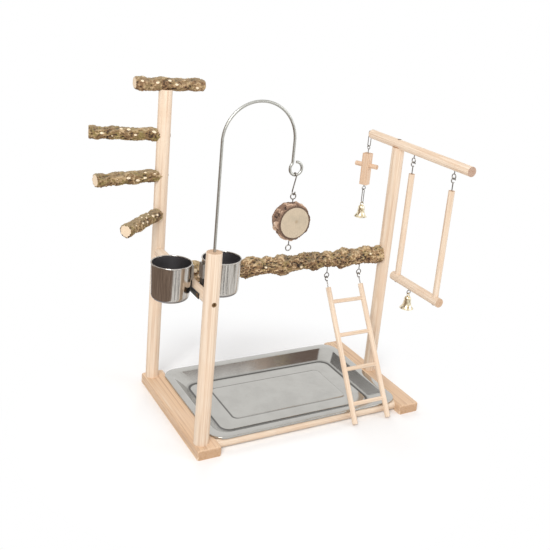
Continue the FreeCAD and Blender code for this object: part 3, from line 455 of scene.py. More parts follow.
def bark(along, turns, round_it, seed):
    """Rough bark from 0 to 1 on a stick that is round_it metres about: broad swellings, sharp
    ridges, as one minus the distance from the middle height, squared, and two sizes of flakes,
    all a little longer along the stick than across, stretched to fill the range."""

    def layer(pitch, extra, skew=0.0):
        count = int(round(round_it / pitch))
        return lumps(along, turns + skew * along, pitch * 1.35, count, seed + extra)

    ridges = (1 - np.abs(2 * layer(0.0062, 1, 3.0) - 1)) ** 2
    flakes = (1 - np.abs(2 * layer(0.0034, 2, -2.0) - 1)) ** 1.5
    height = 0.22 * layer(0.013, 0, 3.0) + 0.28 * ridges + 0.28 * flakes + 0.22 * layer(0.0018, 3)
    low, high = np.percentile(height, (2, 98))
    return np.clip((height - low) / (high - low), 0, 1)


def knots_on(along, turns, radius, knots, high):
    """Heights in metres and pale caps of the knots. A knot is its place along in mm, its place
    round in degrees, its size in mm and how far its cap reaches. It is a boss exp(-d^4 / 3), where
    d is the distance over the surface in sizes, 1.6 of them along, and its cap is where d is small."""
    height, cap = np.zeros_like(along), np.zeros_like(along)
    for place, degrees, size, pale in knots:
        side = (turns - degrees / 360 + 0.5) % 1 - 0.5
        d = np.hypot((along - place * MM) / (size * 1.6 * MM), side * 2 * np.pi * radius / (size * MM))
        height = np.maximum(height, high * np.exp(-d**4 / 3))
        cap = np.maximum(cap, np.clip((pale - d) * 3.5, 0, 1))
    return height, cap


sample = bark(*np.meshgrid(np.linspace(0, 0.1, 90), np.linspace(0, 1, 80)), 0.08, 3)
print("half of the bark is over", round(float(np.median(sample)), 2))

# %% [markdown]
# A turned piece could be a profile with a Screw modifier, but a knotty stick has another ring at each
# step. So each new piece is an array of rings of points, joined by faces and closed by two poles.


# %% A closed skin from rings
def skin(name, rings, faces_out=True, **attributes):
    """A closed surface through rings of points, an array of (rings, points round, 3). The first and
    last rings shrink to a pole each. Attributes are arrays of (rings, points round)."""
    count, around = rings.shape[:2]
    points = np.concatenate([rings[:1].mean(1), rings[1:-1].reshape(-1, 3), rings[-1:].mean(1)])
    a, b = neighbours(count - 3, around)
    quads = 1 + np.stack([a, b, b + around, a + around], -1).reshape(-1, 4)
    (j,), (k,) = neighbours(1, around)
    last = len(points) - 1
    start = np.stack([np.zeros_like(j), 1 + k, 1 + j], -1)
    end = np.stack([np.full_like(j, last), last - around + j, last - around + k], -1)
    faces = [row[::1 if faces_out else -1] for part in (start, quads, end) for row in part.tolist()]
    made = new_piece(name, points, faces)
    mesh = made.data
    mesh.polygons.foreach_set("use_smooth", np.ones(len(faces), bool))
    mesh.set_sharp_from_angle(angle=math.radians(58))
    for key, values in attributes.items():
        flat = np.concatenate([values[:1].mean(1), values[1:-1].ravel(), values[-1:].mean(1)])
        mesh.attributes.new(key, "FLOAT", "POINT").data.foreach_set("value", flat.astype(np.float32))
    return made


print("a skin has a pole at each end and four-sided faces between")

# %% [markdown]
# A real stick swells at its knots and never runs quite straight. Displacing a cylinder would move
# its sawn ends too, so the whole stick is one formula: a radius for each place and turn.


# %% A natural stick
def sideways(along):
    """Two directions square to a direction and to each other."""
    turned = Vector((0, 0, 1)).rotation_difference(along).to_matrix()
    return np.array(turned.col[0]), np.array(turned.col[1])


perch_root = 8.5 * MM


def stick(name, start, along, length, width, swell, pitch, first, butt, knots, seed, depth, high,
          cope=0):
    """A natural stick of the same make as the solid: its radius is the width's half times
    1 + swell * uneven * cos(turns between knots), with a flare at the butt, and it sways off its
    line. Two fifths of the bark's depth stand over that radius. The ends are sawn flat, or the
    first is coped: a point that is q off the axis level starts at sqrt(cope^2 - q^2)."""
    along, start = Vector(along).normalized(), Vector(start)
    side, other = sideways(along)
    facet, bevel, rounding, gap = 0.00095, 0.0012, 0.0007, 0.0005
    around = int(round(np.pi * width / facet / 4) * 4)
    body = np.linspace(0, length, int(length / MM))
    closing = np.array([0.0, 0.3, 0.55, 0.78, 0.9, 0.97])
    face = np.ones(len(closing))
    places = np.concatenate([0 * face, body, length * face])
    factor = np.concatenate([closing, np.ones(len(body)), closing[::-1]])
    sawn = np.concatenate([face, np.zeros(len(body)), face])
    s, turn = np.meshgrid(places, np.arange(around) / around, indexing="ij")
    knotting = (s - first) / pitch
    thick = 1 + swell * (1 + 0.35 * np.sin(1.7 * knotting + 2)) * np.cos(2 * np.pi * knotting)
    thick = thick + (butt - 1) * np.exp(-((1.6 * s / pitch) ** 2))
    rough = bark(s, turn, np.pi * width, seed)
    bosses, cap = knots_on(s, turn, width / 2, knots, high)
    radius = width / 2 * thick + depth * (np.maximum(rough, 0.75 * cap) - 0.6) + bosses
    edge = np.clip(np.minimum(s, length - s) / bevel, 0, 1)
    radius = (radius - rounding * (1 - edge) ** 2) * factor[:, None]
    sway = 0.03 * width * np.sin(3.9 * knotting)
    angle = 2 * np.pi * turn
    x, y = sway + radius * np.cos(angle), -0.7 * sway + radius * np.sin(angle)
    if cope:
        level = np.cross((0, 0, 1), np.array(along))
        across = x * (side @ level) + y * (other @ level)
        fitted = np.sqrt(np.maximum(cope**2 - across**2, (0.3 * cope) ** 2)) - gap
        s = s + (fitted - perch_root) * np.clip(1 - s / 0.02, 0, 1)
    points = np.array(start) + s[..., None] * np.array(along)
    points = points + x[..., None] * side + y[..., None] * other
    points = np.clip(points, np.array(cad_low), np.array(cad_high))
    saw = np.broadcast_to(sawn[:, None], s.shape)
    reach = np.broadcast_to(factor[:, None], s.shape)
    return skin(name, points, relief=rough, knot=cap * (1 - saw), sawn=saw, reach=reach)


print("perches start", perch_root / MM, "mm from the post's axis")

# %% [markdown]
# Bark takes its colours from its own relief: crevices are dark, partly the bark's own colour and
# partly painted shade, ridges turn a pale tan, and between them lie olive and brown patches. The
# relief, the knots and the sawn ends are values kept on the mesh, so the colour can't slip off the
# shape. The ends show rings round the pith.


# %% Bark and sawn ends
def bark_finish(name, centre, along, deep=(70, 50, 33), brown=(133, 104, 70), olive=(140, 122, 80),
                tan=(196, 168, 128), under=0.0, crevice_shade=0.0):
    """Deep to brown to tan by relief, olive where a slow noise is high, redder underneath, greyer
    on top and cream on the knots. The deep colour in the crevices is partly the bark's own and
    partly painted shade, and the last argument spreads it higher up the relief. The sawn ends
    have rings 1.5 mm apart and a thin dark edge."""
    f = Finish(name)
    local = f.grain(centre, along)
    relief, knot, sawn = f.attribute("relief"), f.attribute("knot"), f.attribute("sawn")
    patches = f.noise(local, 75, 3, 0.6)
    flecks = f.noise(f.stretch(local, 1, 1, 0.6), 260, 3, 0.6)
    drawn = f.noise(f.stretch(local, 1, 1, 0.4), 700, 4, 0.65)
    grit = f.noise(local, 2300, 3, 0.6)
    level = 0.72 * relief + 0.9 * (flecks - 0.5) + 0.5 * (drawn - 0.5) + 0.15
    # Painted shade: below this step the crevices take the deep colour, partly the bark's own and partly
    # shade.
    above_crevices = f.step(level, 0.2 + crevice_shade, 0.42 + crevice_shade)
    colour = f.mix(above_crevices, rgb(*deep), rgb(*brown))
    colour = f.mix(f.step(patches, 0.46, 0.6) * 0.8 * above_crevices, colour, rgb(*olive))
    colour = f.mix(f.step(level, 0.56, 0.82) * 0.9, colour, rgb(*tan))
    colour = f.mix(f.step(level, 0.9, 1.05) * 0.8, colour, rgb(232, 212, 180))
    upright = f.facing((0, 0, 1))
    colour = f.mix(f.step(upright, 0.25, -0.6) * under, colour, rgb(98, 68, 50))
    colour = f.mix(f.step(upright, 0.35, 0.95) * 0.45, colour, rgb(176, 162, 134))
    pale = f.step(knot + 0.25 * (drawn - 0.5), 0.25, 0.5)
    colour = f.mix(pale, colour, rgb(252, 232, 200))
    from_pith = f.length(f.vector("ADD", f.stretch(local, 1, 1, 0), (0.0012, -0.0008, 0)))
    phase = f.maths("FRACT", (from_pith + 0.0016 * f.noise(local, 120, 2)) / 0.0015)
    cut = f.mix(f.step(phase, 0.2, 0.95) * 0.34, rgb(236, 214, 186), rgb(214, 180, 138))
    cut = f.tint(cut, 0.94 + 0.12 * f.noise(local, 1700, 3, 0.6))
    cut = f.mix(f.step(f.attribute("reach"), 0.93, 0.985), cut, rgb(104, 76, 48))
    colour = f.mix(f.step(sawn, 0.45, 0.55), colour, cut)
    f.bump(drawn * 0.6 + grit * 0.4, 0.0006, 0.7)
    return f.feed(Base_Color=colour, Roughness=0.72 + 0.22 * drawn - 0.25 * pale)


print("bark finish is ready")

# %% [markdown]
# One stick lies across the tall post and three fan round it. An array of one stick would show the
# same bark four times, so each gets its own seed, and its knots stand where the picture shows them.
# A side perch's end is hollowed to fit the round post, so no gap shows between them.

# %% Where the perches sit
tall, cup_stem, right_stem = middle("tall_post"), middle("cup_post"), middle("right_post")
post_low, post_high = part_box("tall_post")
post_radius, post_top = (post_high.x - post_low.x) / 2, post_high.z
perch_width, perch_reach, perch_pitch = 23.5 * MM, 0.133, 0.034
branch_z, rail_z = 0.284, 0.286


def dress(made, body, slot, finish, *replaced):
    """Gives a piece its finish and its body, and hides the solids that it stands for. The slot is not
    used.
    """
    made.data.materials.append(finish)
    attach(made, body)
    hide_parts(*replaced)


def fan(drop, angle):
    """A side perch's place on the post's axis, a drop in mm under its top, and the way it points."""
    bearing = math.radians(angle)
    return (Vector((tall.x, tall.y, post_top - drop * MM)),
            Vector((-math.cos(bearing), -math.sin(bearing), 0)))


def perch_knots(front, seed, length):
    """The knots that the picture shows, and a few seeded ones on the far side of the stick."""
    dice = np.random.default_rng(seed)
    hidden = [(dice.uniform(8, length - 8), dice.uniform(40, 190), dice.uniform(1.6, 2.4),
               dice.uniform(0.5, 1)) for _ in range(7)]
    return front + hidden


print("upper side perch starts at", [round(c, 3) for c in fan(84, -13)[0]])

# %% Perches
top_length, top_overhang, top_z = 0.131, 0.058, 605.25 * MM
top_start = (tall.x - top_overhang, tall.y, top_z)
top_knots = perch_knots([(10, -120, 2.2, 0.9), (38, -109, 2.1, 1), (62, -131, 2.4, 1),
                         (74, -99, 2.2, 1), (114, -70, 2.0, 1), (26, -60, 1.6, 0.5),
                         (90, -140, 1.7, 0.6)], 5, 131)
top = stick("top_perch_bark", top_start, X, top_length, perch_width, swell=0.06, pitch=perch_pitch,
            first=0.01175, butt=1.0, knots=top_knots, seed=11, depth=0.0027, high=0.0006)
dress(top, "stand", "natural_branch", bark_finish("bark_top_perch", top_start, X,
      brown=(140, 108, 76), olive=(146, 124, 86)), "top_perch")
# For each side perch: its drop in mm, its angle, its seed and its knots in view.
side_perches = {
    "upper": (84, -13, 21, [(102, -94, 2.3, 1), (68, -50, 2.2, 1), (55, -52, 2.2, 1), (43, -99, 2.0, 1),
                            (11, -71, 2.4, 1), (84, -118, 1.8, 0.6)]),
    "middle": (160, 10, 31, [(66, -67, 2.5, 1), (47, -91, 2.5, 1), (32, -80, 2.4, 1),
                             (30, -30, 2.0, 0.8), (88, -70, 1.9, 0.5), (14, -50, 1.9, 0.7)]),
    "lower": (234, 44, 41, [(70, 34, 2.0, 1), (60, 7, 2.1, 1), (38, -7, 2.3, 1), (24, -16, 2.2, 1),
                            (82, -18, 2.0, 0.8), (64, -30, 2.4, 1), (101, -13, 2.0, 0.8),
                            (46, 24, 1.8, 1)]),
}
for name, (drop, angle, seed, knots) in side_perches.items():
    axis_point, outward = fan(drop, angle)
    reach, root = perch_reach - perch_root, axis_point + outward * perch_root
    made = stick(name + "_side_perch_bark", root, outward, reach, perch_width, swell=0.06,
                 pitch=perch_pitch, first=reach - 0.0085, butt=1.0, knots=perch_knots(knots, seed, 124),
                 seed=seed, depth=0.0028, high=0.0007, cope=post_radius)
    finish = bark_finish("bark_%s_perch" % name, root, outward, olive=(148, 132, 78))
    dress(made, "stand", "natural_branch", finish, name + "_side_perch")
    print(name, "perch has", len(made.data.polygons), "faces and", len(knots), "knots in view")

# %% [markdown]
# The long branch is stouter and more knobbly, with stubs of cut thorns that break its outline. The
# same stick surface serves, with deeper bark and the stubs where the picture's outline has them.

# %% Long branch
branch_start = (tall.x + 5.5 * MM, right_stem.y, branch_z)
branch_length, branch_width = 0.4295, 31 * MM
stubs = [(93, 178, 6, 0), (128, -172, 7, 0), (166, 180, 5, 0), (198, 176, 7, 0), (244, 172, 5, 0),
         (300, -176, 6, 0), (336, 180, 7, 0), (390, 176, 7, 0), (424, -170, 6, 0), (98, 4, 6, 0),
         (126, -4, 6, 0), (147, 8, 4, 0), (202, 0, 7, 0), (277, 4, 5, 0), (334, -6, 4, 0),
         (375, 4, 5, 0), (62, -110, 6, 0.3), (144, -118, 5, 0), (205, -120, 5, 0), (258, -100, 5, 0),
         (350, -110, 6, 0), (120, 85, 5, 0.4), (190, 60, 5, 0.5), (290, 95, 5, 0.5), (372, 70, 5, 0.4),
         (7, -80, 3, 0.9), (13, -122, 3, 0.9), (15, -58, 3, 0.9), (21, -95, 3, 1), (9, -150, 3, 0.9),
         (3, -110, 3, 0.8), (12, 170, 8, 0.2), (14, 10, 8, 0.2), (30, -110, 6, 0.3), (22, 80, 6, 0.5),
         (156, -100, 2.2, 0.9), (233, -80, 2.2, 0.9), (394, -120, 2.2, 0.9)]
branch = stick("long_branch_bark", branch_start, X, branch_length, branch_width, swell=0.1, pitch=0.071,
               first=0.057, butt=41 / 31, knots=stubs, seed=51, depth=0.0044, high=0.0040)
# The branch's crevices are darker and reach higher up its relief: partly painted shade.
dress(branch, "stand", "natural_branch",
      bark_finish("bark_long_branch", branch_start, X, deep=(46, 32, 24), brown=(154, 120, 84),
                  olive=(170, 148, 96), tan=(228, 198, 156), under=0.6, crevice_shade=0.06), "long_branch")
print("branch has", len(branch.data.polygons), "faces")

# %% [markdown]
# The hanging slice is cut across a rough-barked limb. Its face is dull tan from weather, with rings,
# fine saw marks and a thin dark line where wood meets bark. The bark's outside is broken by scales.


# %% Slice
slice_middle = middle("wood_slice")
slice_low, slice_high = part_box("slice_bark")
slice_thick = slice_high.y - slice_low.y
slice_radius = (slice_high.x - slice_low.x) / 2
bark_deep = 0.0068


def wheel(name, outer, thick, round_off, around, relief):
    """A closed wheel about the slice's axis: rings of radius outer * share while Y goes from the
    front face to the back, the edge rounded by a quarter circle."""
    arc, flat = np.linspace(0, np.pi / 2, 5), np.array([0, 0.2, 0.4, 0.6, 0.75, 0.86, 0.94])
    rounded = 1 - round_off * (1 - np.sin(arc))
    shares = np.concatenate([flat, rounded, np.ones(26), rounded[::-1], flat[::-1]])
    bevel = round_off * outer * (1 - np.cos(arc))
    level = np.linspace(bevel[-1], thick - bevel[-1], 28)[1:-1]
    depth = np.concatenate([np.zeros(7), bevel, level, thick - bevel[::-1], np.full(7, thick)])
    share, turn = np.meshgrid(shares, np.arange(around) / around, indexing="ij")
    deep = np.broadcast_to(depth[:, None], share.shape)
    rough = relief(deep, turn)
    radius = share * (outer - (share > 0.97) * rough)
    angle = 2 * np.pi * turn
    points = np.stack([slice_middle.x + radius * np.cos(angle), slice_low.y + deep,
                       slice_middle.z + radius * np.sin(angle)], -1)
    edge = np.clip(np.minimum(deep, thick - deep) / 0.0012, 0, 1)
    return skin(name, points, False, relief=0.3 - rough / bark_deep, rim=share * (1 - edge))


def scales(deep, turn):
    """Depth of the bark under the slice's radius: plates of 8 mm with bark over them, from 1.8 mm
    in to 5 mm proud, less at the faces."""
    inside = np.clip(np.minimum(deep, slice_thick - deep) / 0.005, 0.4, 1)
    plates = np.clip((lumps(deep, turn, 0.0085, 23, 78) - 0.4) * 4, 0, 1)
    rough = 0.6 * plates + 0.4 * bark(deep, turn, 2 * np.pi * slice_radius, 77)
    return bark_deep * (0.27 - rough) * inside + 0.0006 * (1 - inside)


bark_wheel = wheel("slice_bark_rough", slice_radius, slice_thick, round_off=0.035,
                   around=210, relief=scales)
wood_wheel = wheel("slice_wood_face", slice_radius - 0.0023, slice_thick, round_off=0.01,
                   around=160, relief=lambda deep, turn: 0.0004 * lumps(deep * 0, turn, 0.01, 9, 5))
# The wood's two faces stand 0.2 mm proud of the bark's, so that they don't share a plane.
wood_points = np.zeros(len(wood_wheel.data.vertices) * 3)
wood_wheel.data.vertices.foreach_get("co", wood_points)
wood_points = wood_points.reshape(-1, 3)
wood_points[:, 1] += np.where(wood_points[:, 1] < slice_middle.y, -0.0002, 0.0002)
wood_wheel.data.vertices.foreach_set("co", wood_points.ravel())
print("slice is", round(slice_radius * 2000, 1), "mm across and", round(slice_thick * 1000, 1), "thick")

# %% [markdown]
# The bark flakes off in pale and dark scales. Painted scales wouldn't fit the relief, so the colour
# reads the relief that the mesh keeps: its hollows are dark, partly the bark's own colour and partly
# painted shade. It darkens at the rim.

# %% Slice bark
f = Finish("slice_bark_finish", Roughness=0.85)
flakes = f.noise(f.stretch(f.grain(slice_middle, Y), 1, 1, 0.5), 340, 4, 0.6)
level = f.attribute("relief") + 1.3 * (flakes - 0.5)
# Painted shade: the low relief takes the dark colour, partly the bark's own and partly shade in the
# hollows.
colour = f.mix(f.step(level, 0.02, 0.32), rgb(52, 38, 32), rgb(140, 111, 92))
colour = f.mix(f.step(level, 0.44, 0.76) * 0.9, colour, rgb(206, 174, 148))
colour = f.mix(f.step(level, 0.86, 1.08), colour, rgb(238, 220, 202))
colour = f.mix(f.step(f.attribute("rim"), 0.6, 0.95) * 0.7, colour, rgb(64, 46, 34))
f.bump(flakes, 0.0007, 0.7)
dress(bark_wheel, "slice", "bark", f.feed(Base_Color=colour), "slice_bark")
print("bark has", len(bark_wheel.data.polygons), "faces")

# %% [markdown]
# The face is end grain. A flat colour would look like plastic, so it has rings round a pith that
# lies off the middle, crossed by the fine marks of the saw.

# %% Slice face
f = Finish("slice_face_finish", Roughness=0.7)
local = f.grain(slice_middle, Y)
flat = f.stretch(local, 1, 1, 0)
from_pith = f.length(f.vector("ADD", flat, (0.003, -0.002, 0)))
wobble = f.noise(local, 90, 3)
phase = f.maths("FRACT", (from_pith + 0.002 * wobble) / 0.0019)
saw_marks = f.noise(f.stretch(local, 1, 0.06, 1), 1100, 3)
stain = f.noise(local, 46, 3, 0.6)
colour = f.mix(f.step(phase, 0.15, 0.95) * 0.4, rgb(203, 186, 162), rgb(170, 148, 120))
colour = f.mix(f.step(stain, 0.45, 0.7) * 0.6, colour, rgb(180, 166, 144))
colour = f.mix(f.step(from_pith, 0.005, 0.0) * 0.5, colour, rgb(150, 120, 86))
colour = f.mix(f.step(f.length(flat), 0.0262, 0.0271) * 0.8, colour, rgb(84, 60, 42))
colour = f.tint(colour, 0.9 + 0.2 * saw_marks)
f.bump(saw_marks * 0.7 + phase * 0.3, 0.0003, 0.6)
dress(wood_wheel, "slice", "sawn_wood", f.feed(Base_Color=colour), "wood_slice")
print("face has", len(wood_wheel.data.polygons), "faces")

# %% [markdown]
# Screws could stay plain discs, but a cross-headed screw is known by its recess. Each is a profile
# turned about its axis: a dished head with a cross sunk in it, a cone under it and a threaded shank.


# %% Screws
def screw_rings(head, along, length, shank):
    """Radius against depth: head, cone, and a shank with a thread 0.35 mm deep, half of it times
    1 + cos(turns - depth / pitch). The cross is sunk where a head point lies within the arm's half
    width of either cross line."""
    along, head_points, head_radius, cone = Vector(along).normalized(), 15, 4.25 * MM, 2.6 * MM
    thread, arm_half, arm_reach, sunk = 0.00035, 0.00062, 0.0027, 0.0011
    side, other = sideways(along)
    on_head = np.linspace(0, 1, head_points) * head_radius
    down = np.linspace(cone, length, max(12, int((length - cone) / (0.6 * MM))))
    taper = np.clip((length - down) / (5 * MM), 0, 1)
    places = np.concatenate([0 * on_head, [0.0002, cone * 0.5], down, [length]])
    radii = np.concatenate([on_head, [head_radius, (head_radius + shank) / 2], shank * taper, [0]])
    depth, turn = np.meshgrid(places, np.arange(48) / 48, indexing="ij")
    radius = np.broadcast_to(radii[:, None], depth.shape)
    angle = 2 * np.pi * turn
    threaded = (depth > cone) & (radius > 0.3 * shank)
    wave = 0.5 + 0.5 * np.cos(angle - 2 * np.pi * depth / (1.6 * MM))
    radius = radius - threaded * thread * wave
    x, y = radius * np.cos(angle), radius * np.sin(angle)
    arms = np.clip((arm_half - np.minimum(np.abs(x), np.abs(y))) / 0.0003, 0, 1)
    cross = arms * np.clip((arm_reach - np.hypot(x, y)) / 0.0004, 0, 1)
    cross = cross * (np.arange(len(places)) < head_points)[:, None]
    depth = depth + sunk * cross
    points = np.array(head) + x[..., None] * side + y[..., None] * other
    return points + depth[..., None] * np.array(along), cross


def screw_set(node, places, length, shank, finish):
    """All screws of a node as one piece of separate closed skins."""
    made = []
    for head, along in places:
        points, cross = screw_rings(head, along, length, shank)
        made.append(skin(node + "_threaded", points, recess=cross))
    if len(made) > 1:
        with bpy.context.temp_override(active_object=made[0], object=made[0],
                                       selected_editable_objects=made):
            bpy.ops.object.join()
    body = next(b for b, members in frame["record"]["behaviour"]["bodies"].items() if node in members)
    dress(made[0], body, "screw_steel", finish, node)


f = Finish("screw_steel", Metallic=0.85)
smut = f.noise(f.place, 900, 3)
colour = f.mix(f.step(smut, 0.35, 0.7), rgb(150, 118, 80), rgb(104, 78, 54))
# Painted shade: the sunk cross recess is coloured near black.
colour = f.mix(f.step(f.attribute("recess"), 0.15, 0.7), colour, rgb(46, 34, 24))
screw_steel = f.feed(Base_Color=colour, Roughness=0.32 + 0.25 * smut)
print("screw finish is ready")

# %% [markdown]
# Screws hold perches, rails and hangers. They could be placed by eye, but most places here come from
# the box of the post or bar that the head sits in.

# %% Where the screws go
bar_top, swing_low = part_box("top_bar")[1].z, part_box("swing_perch")[0].z
cup_post_radius = (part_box("cup_post")[1].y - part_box("cup_post")[0].y) / 2
hanger_low, hanger_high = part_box("hanger_screws")
hanger_y = (hanger_low.y + hanger_high.y) / 2
down, left, forward = (0, 0, -1), (-1, 0, 0), (0, -1, 0)
top_perch_head, branch_head, hanger_head = 0.617, 0.0095, 0.011
long_screw, base_screw, short_screw = (0.046, 0.002), (0.05, 0.002), (0.008, 0.0015)
perch_fixings = [((tall.x, tall.y, top_perch_head), down)]
for drop, angle, _, _ in side_perches.values():
    axis_point, outward = fan(drop, angle)
    perch_fixings.append((axis_point - outward * post_radius, outward))
# For each set: the places and directions of its screws, then their length and the shank's radius.
screws = {
    "perch_screws": (perch_fixings, long_screw),
    "cross_rail_screws": ([((cup_stem.x, cup_stem.y - cup_post_radius, rail_z), Y),
                           ((tall.x, tall.y + post_radius, rail_z), forward)], long_screw),
    "branch_screws": ([((tall.x - branch_head, right_stem.y, branch_z), X),
                       ((right_stem.x + post_radius, right_stem.y, branch_z), left)], long_screw),
    "bar_screw": ([((right_stem.x, right_stem.y, bar_top), down)], long_screw),
    "base_screws": ([((stem.x, stem.y, 0.0), Z) for stem in (tall, cup_stem, right_stem)], base_screw),
    "hanger_screws": ([((tall.x - hanger_head, hanger_y, rail_z), X),
                       ((tall.x + hanger_head, hanger_y, rail_z), left)], short_screw),
    "swing_screws": ([((right_stem.x, middle(side).y, swing_low), Z)
                      for side in ("swing_front_side", "swing_rear_side")], long_screw),
}
for node, (places, (length, shank)) in screws.items():
    screw_set(node, places, length, shank, screw_steel)
print("screws", sum(len(places) for places, _ in screws.values()))

# %% [markdown]
# The tray is pressed from thin sheet: a rolled hem, a flat rim, sloping walls, a groove round the
# floor and a raised panel. A bevelled box would lose the groove, so here rounded rectangles, one
# inside the next, step through the profile. Metal is drawn by what it reflects, so the colour hardly
# varies, and soft smudges in the roughness and long shallow waves do the work. The groove and the
# step up to the panel are painted dark as shade.


# %% Tray finish
f = Finish("pressed_steel", Metallic=1.0)
smudge = f.noise(f.place, 22, 4, 0.6)
scratch = f.noise(f.stretch(f.place, 0.05, 1, 1), 1400, 3)
waves = f.noise(f.place, 9, 2)
colour = f.mix(f.step(smudge, 0.35, 0.7), rgb(192, 190, 185), rgb(184, 182, 177))
# Painted shade: the groove and the step up to the panel are coloured near black.
colour = f.mix(f.attribute("crease") * 0.85, colour, rgb(52, 49, 47))
f.bump(waves * 0.96 + scratch * 0.04, 0.0004, 0.4)
pressed_steel = f.feed(Base_Color=colour, Roughness=0.11 + 0.07 * smudge + 0.04 * scratch)
print("tray finish is ready")

# %% Tray
tray_low, tray_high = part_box("drip_tray")
tray_middle = (tray_low + tray_high) / 2
corner_points = 12
quarter = np.linspace(0, np.pi / 2, corner_points)
corner_angles = np.concatenate([quarter + q * np.pi / 2 for q in range(4)])


def rounded_rings(rows):
    """Rounded rectangles about the tray's middle, a row each of half length, half depth, corner
    radius and height in mm: a corner's middle plus its radius times (cos, sin)."""
    half_x, half_y, corner, z = (np.array(rows)[:, i : i + 1] * MM for i in range(4))
    side_x, side_y = np.repeat([1, -1, -1, 1], corner_points), np.repeat([1, 1, -1, -1], corner_points)
    x = tray_middle.x + side_x * (half_x - corner) + corner * np.cos(corner_angles)
    y = tray_middle.y + side_y * (half_y - corner) + corner * np.sin(corner_angles)
    return np.stack([x, y, np.broadcast_to(z, x.shape)], -1)


def beside(outline, base, *rows):
    """Rows for rounded_rings: what each adds to an outline's half sizes, its corner radius and its
    height over a base, in mm."""
    return [(outline[0] + x, outline[1] + y, corner, base + z) for x, y, corner, z in rows]


edge = (tray_high.x - tray_low.x) / 2 / MM, (tray_high.y - tray_low.y) / 2 / MM
inner, raised = (edge[0] - 39, edge[1] - 44), (edge[0] - 76, edge[1] - 75)
rim_z, under_z = tray_high.z / MM, tray_low.z / MM
floor_z = under_z + 1
centre = (0, 0)
under = (beside(centre, under_z, (0, 0, 0, 0))
         + beside(inner, under_z, (-8, -8, 18, 0), (1, 1, 22, 0.3), (6, 7, 24, 2.6))
         + beside(edge, rim_z, (-16, -16, 26, -2.2), (-12, -12, 27, -1.1), (-1.2, -1.2, 29, -1.1),
                  (-1, -1, 29, -3)))
hem = beside(edge, rim_z, (0, 0, 30, -3), (0, 0, 30, -0.8), (-0.3, -0.3, 29.8, -0.25),
             (-0.9, -0.9, 29.3, 0))
slope = (beside(edge, rim_z, (-12.5, -12.5, 27, 0), (-14, -14.2, 26, -0.25), (-15.6, -16, 26, -1.3))
         + beside(inner, floor_z, (6, 7, 23.5, 2.4), (2.6, 2.8, 22, 0.5)))
groove = beside(inner, floor_z, (1.2, 1.2, 21.4, 0.02), (0, 0, 20.8, -0.35), (-1.4, -1.4, 20, -0.35))
ledge = beside(inner, floor_z, (-2.4, -2.4, 19.4, 0.25), (-4.2, -4.2, 18.4, 0.45))
panel = (beside(raised, floor_z, (2.2, 2.2, 13, 0.45), (0.8, 0.8, 12, 0.2), (-0.4, -0.4, 11.4, 0.3),
                (-2.0, -2.0, 10.6, 1.15), (-3.2, -3.2, 10, 1.38), (-8, -8, 8, 1.4))
         + beside(centre, floor_z, (0, 0, 0, 1.4)))
# The groove is painted dark all round as shade. The step up to the panel is painted dark as shade
# at the left, and this fades to the right.
profile = under + hem + slope + groove + ledge + panel
groove_row, step_row = len(under + hem + slope), len(profile) - len(panel) + 1
crease = np.zeros((len(profile), len(corner_angles)))
crease[groove_row - 1] = 0.35
crease[groove_row : groove_row + len(groove)] = 1
crease[step_row : step_row + 2] = np.clip(0.45 - 0.5 * np.cos(corner_angles), 0, 1)
tray = skin("pressed_tray", rounded_rings(profile), crease=crease)
dress(tray, "tray", "stainless_steel", pressed_steel, "drip_tray")
print("tray stands", round(rim_z, 1), "mm high and is", round(2 * edge[0]), "by", round(2 * edge[1]))

# %% [markdown]
# The cups are drawn steel, brushed up and down. They are bright outside; inside they are rougher and
# painted darker as shade. The imported solids have the right walls and lips, so only the finish is
# new. It could be two materials, but the mesh is one skin: the inside is where a point lies nearer
# the axis than the wall's middle at its height.

# %% Cups
lip_low, lip_high, cup_floor = 0.0625, 0.0637, 0.0002
for side in ("left", "right"):
    cup_low, cup_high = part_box(side + "_cup")
    axis = ((cup_low.x + cup_high.x) / 2, (cup_low.y + cup_high.y) / 2, cup_low.z)
    f = Finish(side + "_cup_steel", Metallic=1.0)
    local = f.grain(axis, Z)
    brushed = f.noise(f.stretch(local, 1, 1, 0.02), 620, 3, 0.7)
    haze = f.noise(local, 40, 3)
    height = f.node("ShaderNodeSeparateXYZ", inputs={0: local}, output="Z")
    wall = 0.0325 + 0.0020 * (height / 0.064)
    within = f.step(f.length(f.stretch(local, 1, 1, 0)) - wall, -0.0003, -0.0006)
    inside = within * (1 - f.step(height, lip_low, lip_high)) * f.step(height, cup_floor, 3 * cup_floor)
    colour = f.mix(f.step(brushed, 0.3, 0.7), rgb(212, 208, 202), rgb(168, 162, 154))
    # Painted shade: the inside is coloured darker and a little bluer than the outside.
    colour = f.mix(inside * 0.93, colour, rgb(160, 158, 161))
    f.bump(brushed, 0.00005, 0.6)
    put(f.feed(Base_Color=colour, Roughness=0.1 + 0.05 * haze + 0.05 * brushed + 0.2 * inside),
        "stainless_steel", side + "_cup")
print("cups stand", round((cup_high.z - cup_low.z) / MM, 1), "mm high")

# %% [markdown]
# The rest is a dull zinc arch, dark nickel hooks, eyes and links, steel clips, black enamel hangers
# and thin brass bells. One plain grey would make them alike, so each gets its own colour and spots.


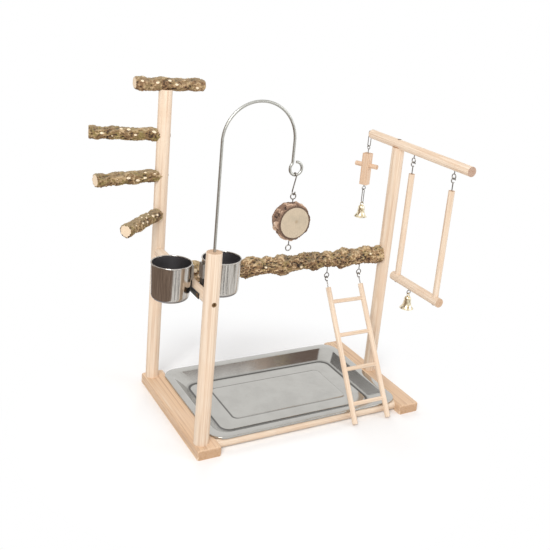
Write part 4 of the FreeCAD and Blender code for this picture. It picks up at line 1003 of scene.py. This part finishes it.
# %% Wires, strips and bells
def plated(name, scale, detail, rough, bright, dull, relief, smooth, uneven):
    """Plated wire: a noise takes the colour from bright to dull, and roughens and bumps it too."""
    f = Finish(name, Metallic=1.0)
    spots = f.noise(f.place, scale, detail, rough)
    f.bump(spots, relief, 0.4)
    return f.feed(Base_Color=f.mix(f.step(spots, 0.35, 0.7), rgb(*bright), rgb(*dull)),
                  Roughness=smooth + uneven * spots)


put(plated("zinc_wire", 420, 4, 0.65, (196, 196, 190), (172, 171, 165), relief=0.00003,
           smooth=0.3, uneven=0.08),
    "arch_steel", "arch_wire")
put(plated("nickel_wire", 700, 3, 0.5, (170, 166, 160), (112, 106, 100), relief=0.0001,
           smooth=0.16, uneven=0.2),
    "dark_wire", "slice_hook", "slice_top_eye", "slice_bottom_eye", "ladder_screw_eyes",
    "ladder_hooks", "swing_screw_eyes", "swing_hooks", "swing_bell_eye", "toy_screw_eye", "toy_link",
    "toy_top_eye", "toy_bottom_eye", "toy_bell_link")

f = Finish("clip_steel", Metallic=1.0)
wear = f.noise(f.place, 260, 3)
put(f.feed(Base_Color=f.mix(wear, rgb(176, 172, 166), rgb(130, 126, 120)), Roughness=0.22 + 0.2 * wear),
    "stainless_steel", "left_cup_clip", "right_cup_clip")

f = Finish("black_enamel", Coat_Weight=0.3)
orange_peel = f.noise(f.place, 1500, 2)
chips = f.step(f.noise(f.place, 210, 4, 0.7), 0.68, 0.72)
colour = f.mix(chips * 0.5, rgb(28, 27, 28), rgb(78, 76, 76))
f.bump(orange_peel, 0.0001, 0.4)
put(f.feed(Base_Color=colour, Roughness=0.36 + 0.2 * orange_peel),
    "black_steel", "left_cup_hanger", "right_cup_hanger")

f = Finish("thin_brass", Metallic=1.0)
tarnish = f.noise(f.place, 190, 4, 0.6)
dents = f.noise(f.place, 330, 2)
colour = f.mix(f.step(tarnish, 0.4, 0.72), rgb(244, 234, 208), rgb(190, 170, 126))
f.bump(dents, 0.0005, 0.4)
put(f.feed(Base_Color=colour, Roughness=0.14 + 0.2 * tarnish),
    "brass", "swing_bell", "swing_bell_clapper", "toy_bell", "toy_bell_clapper")
print("finishes", len(bpy.data.materials))
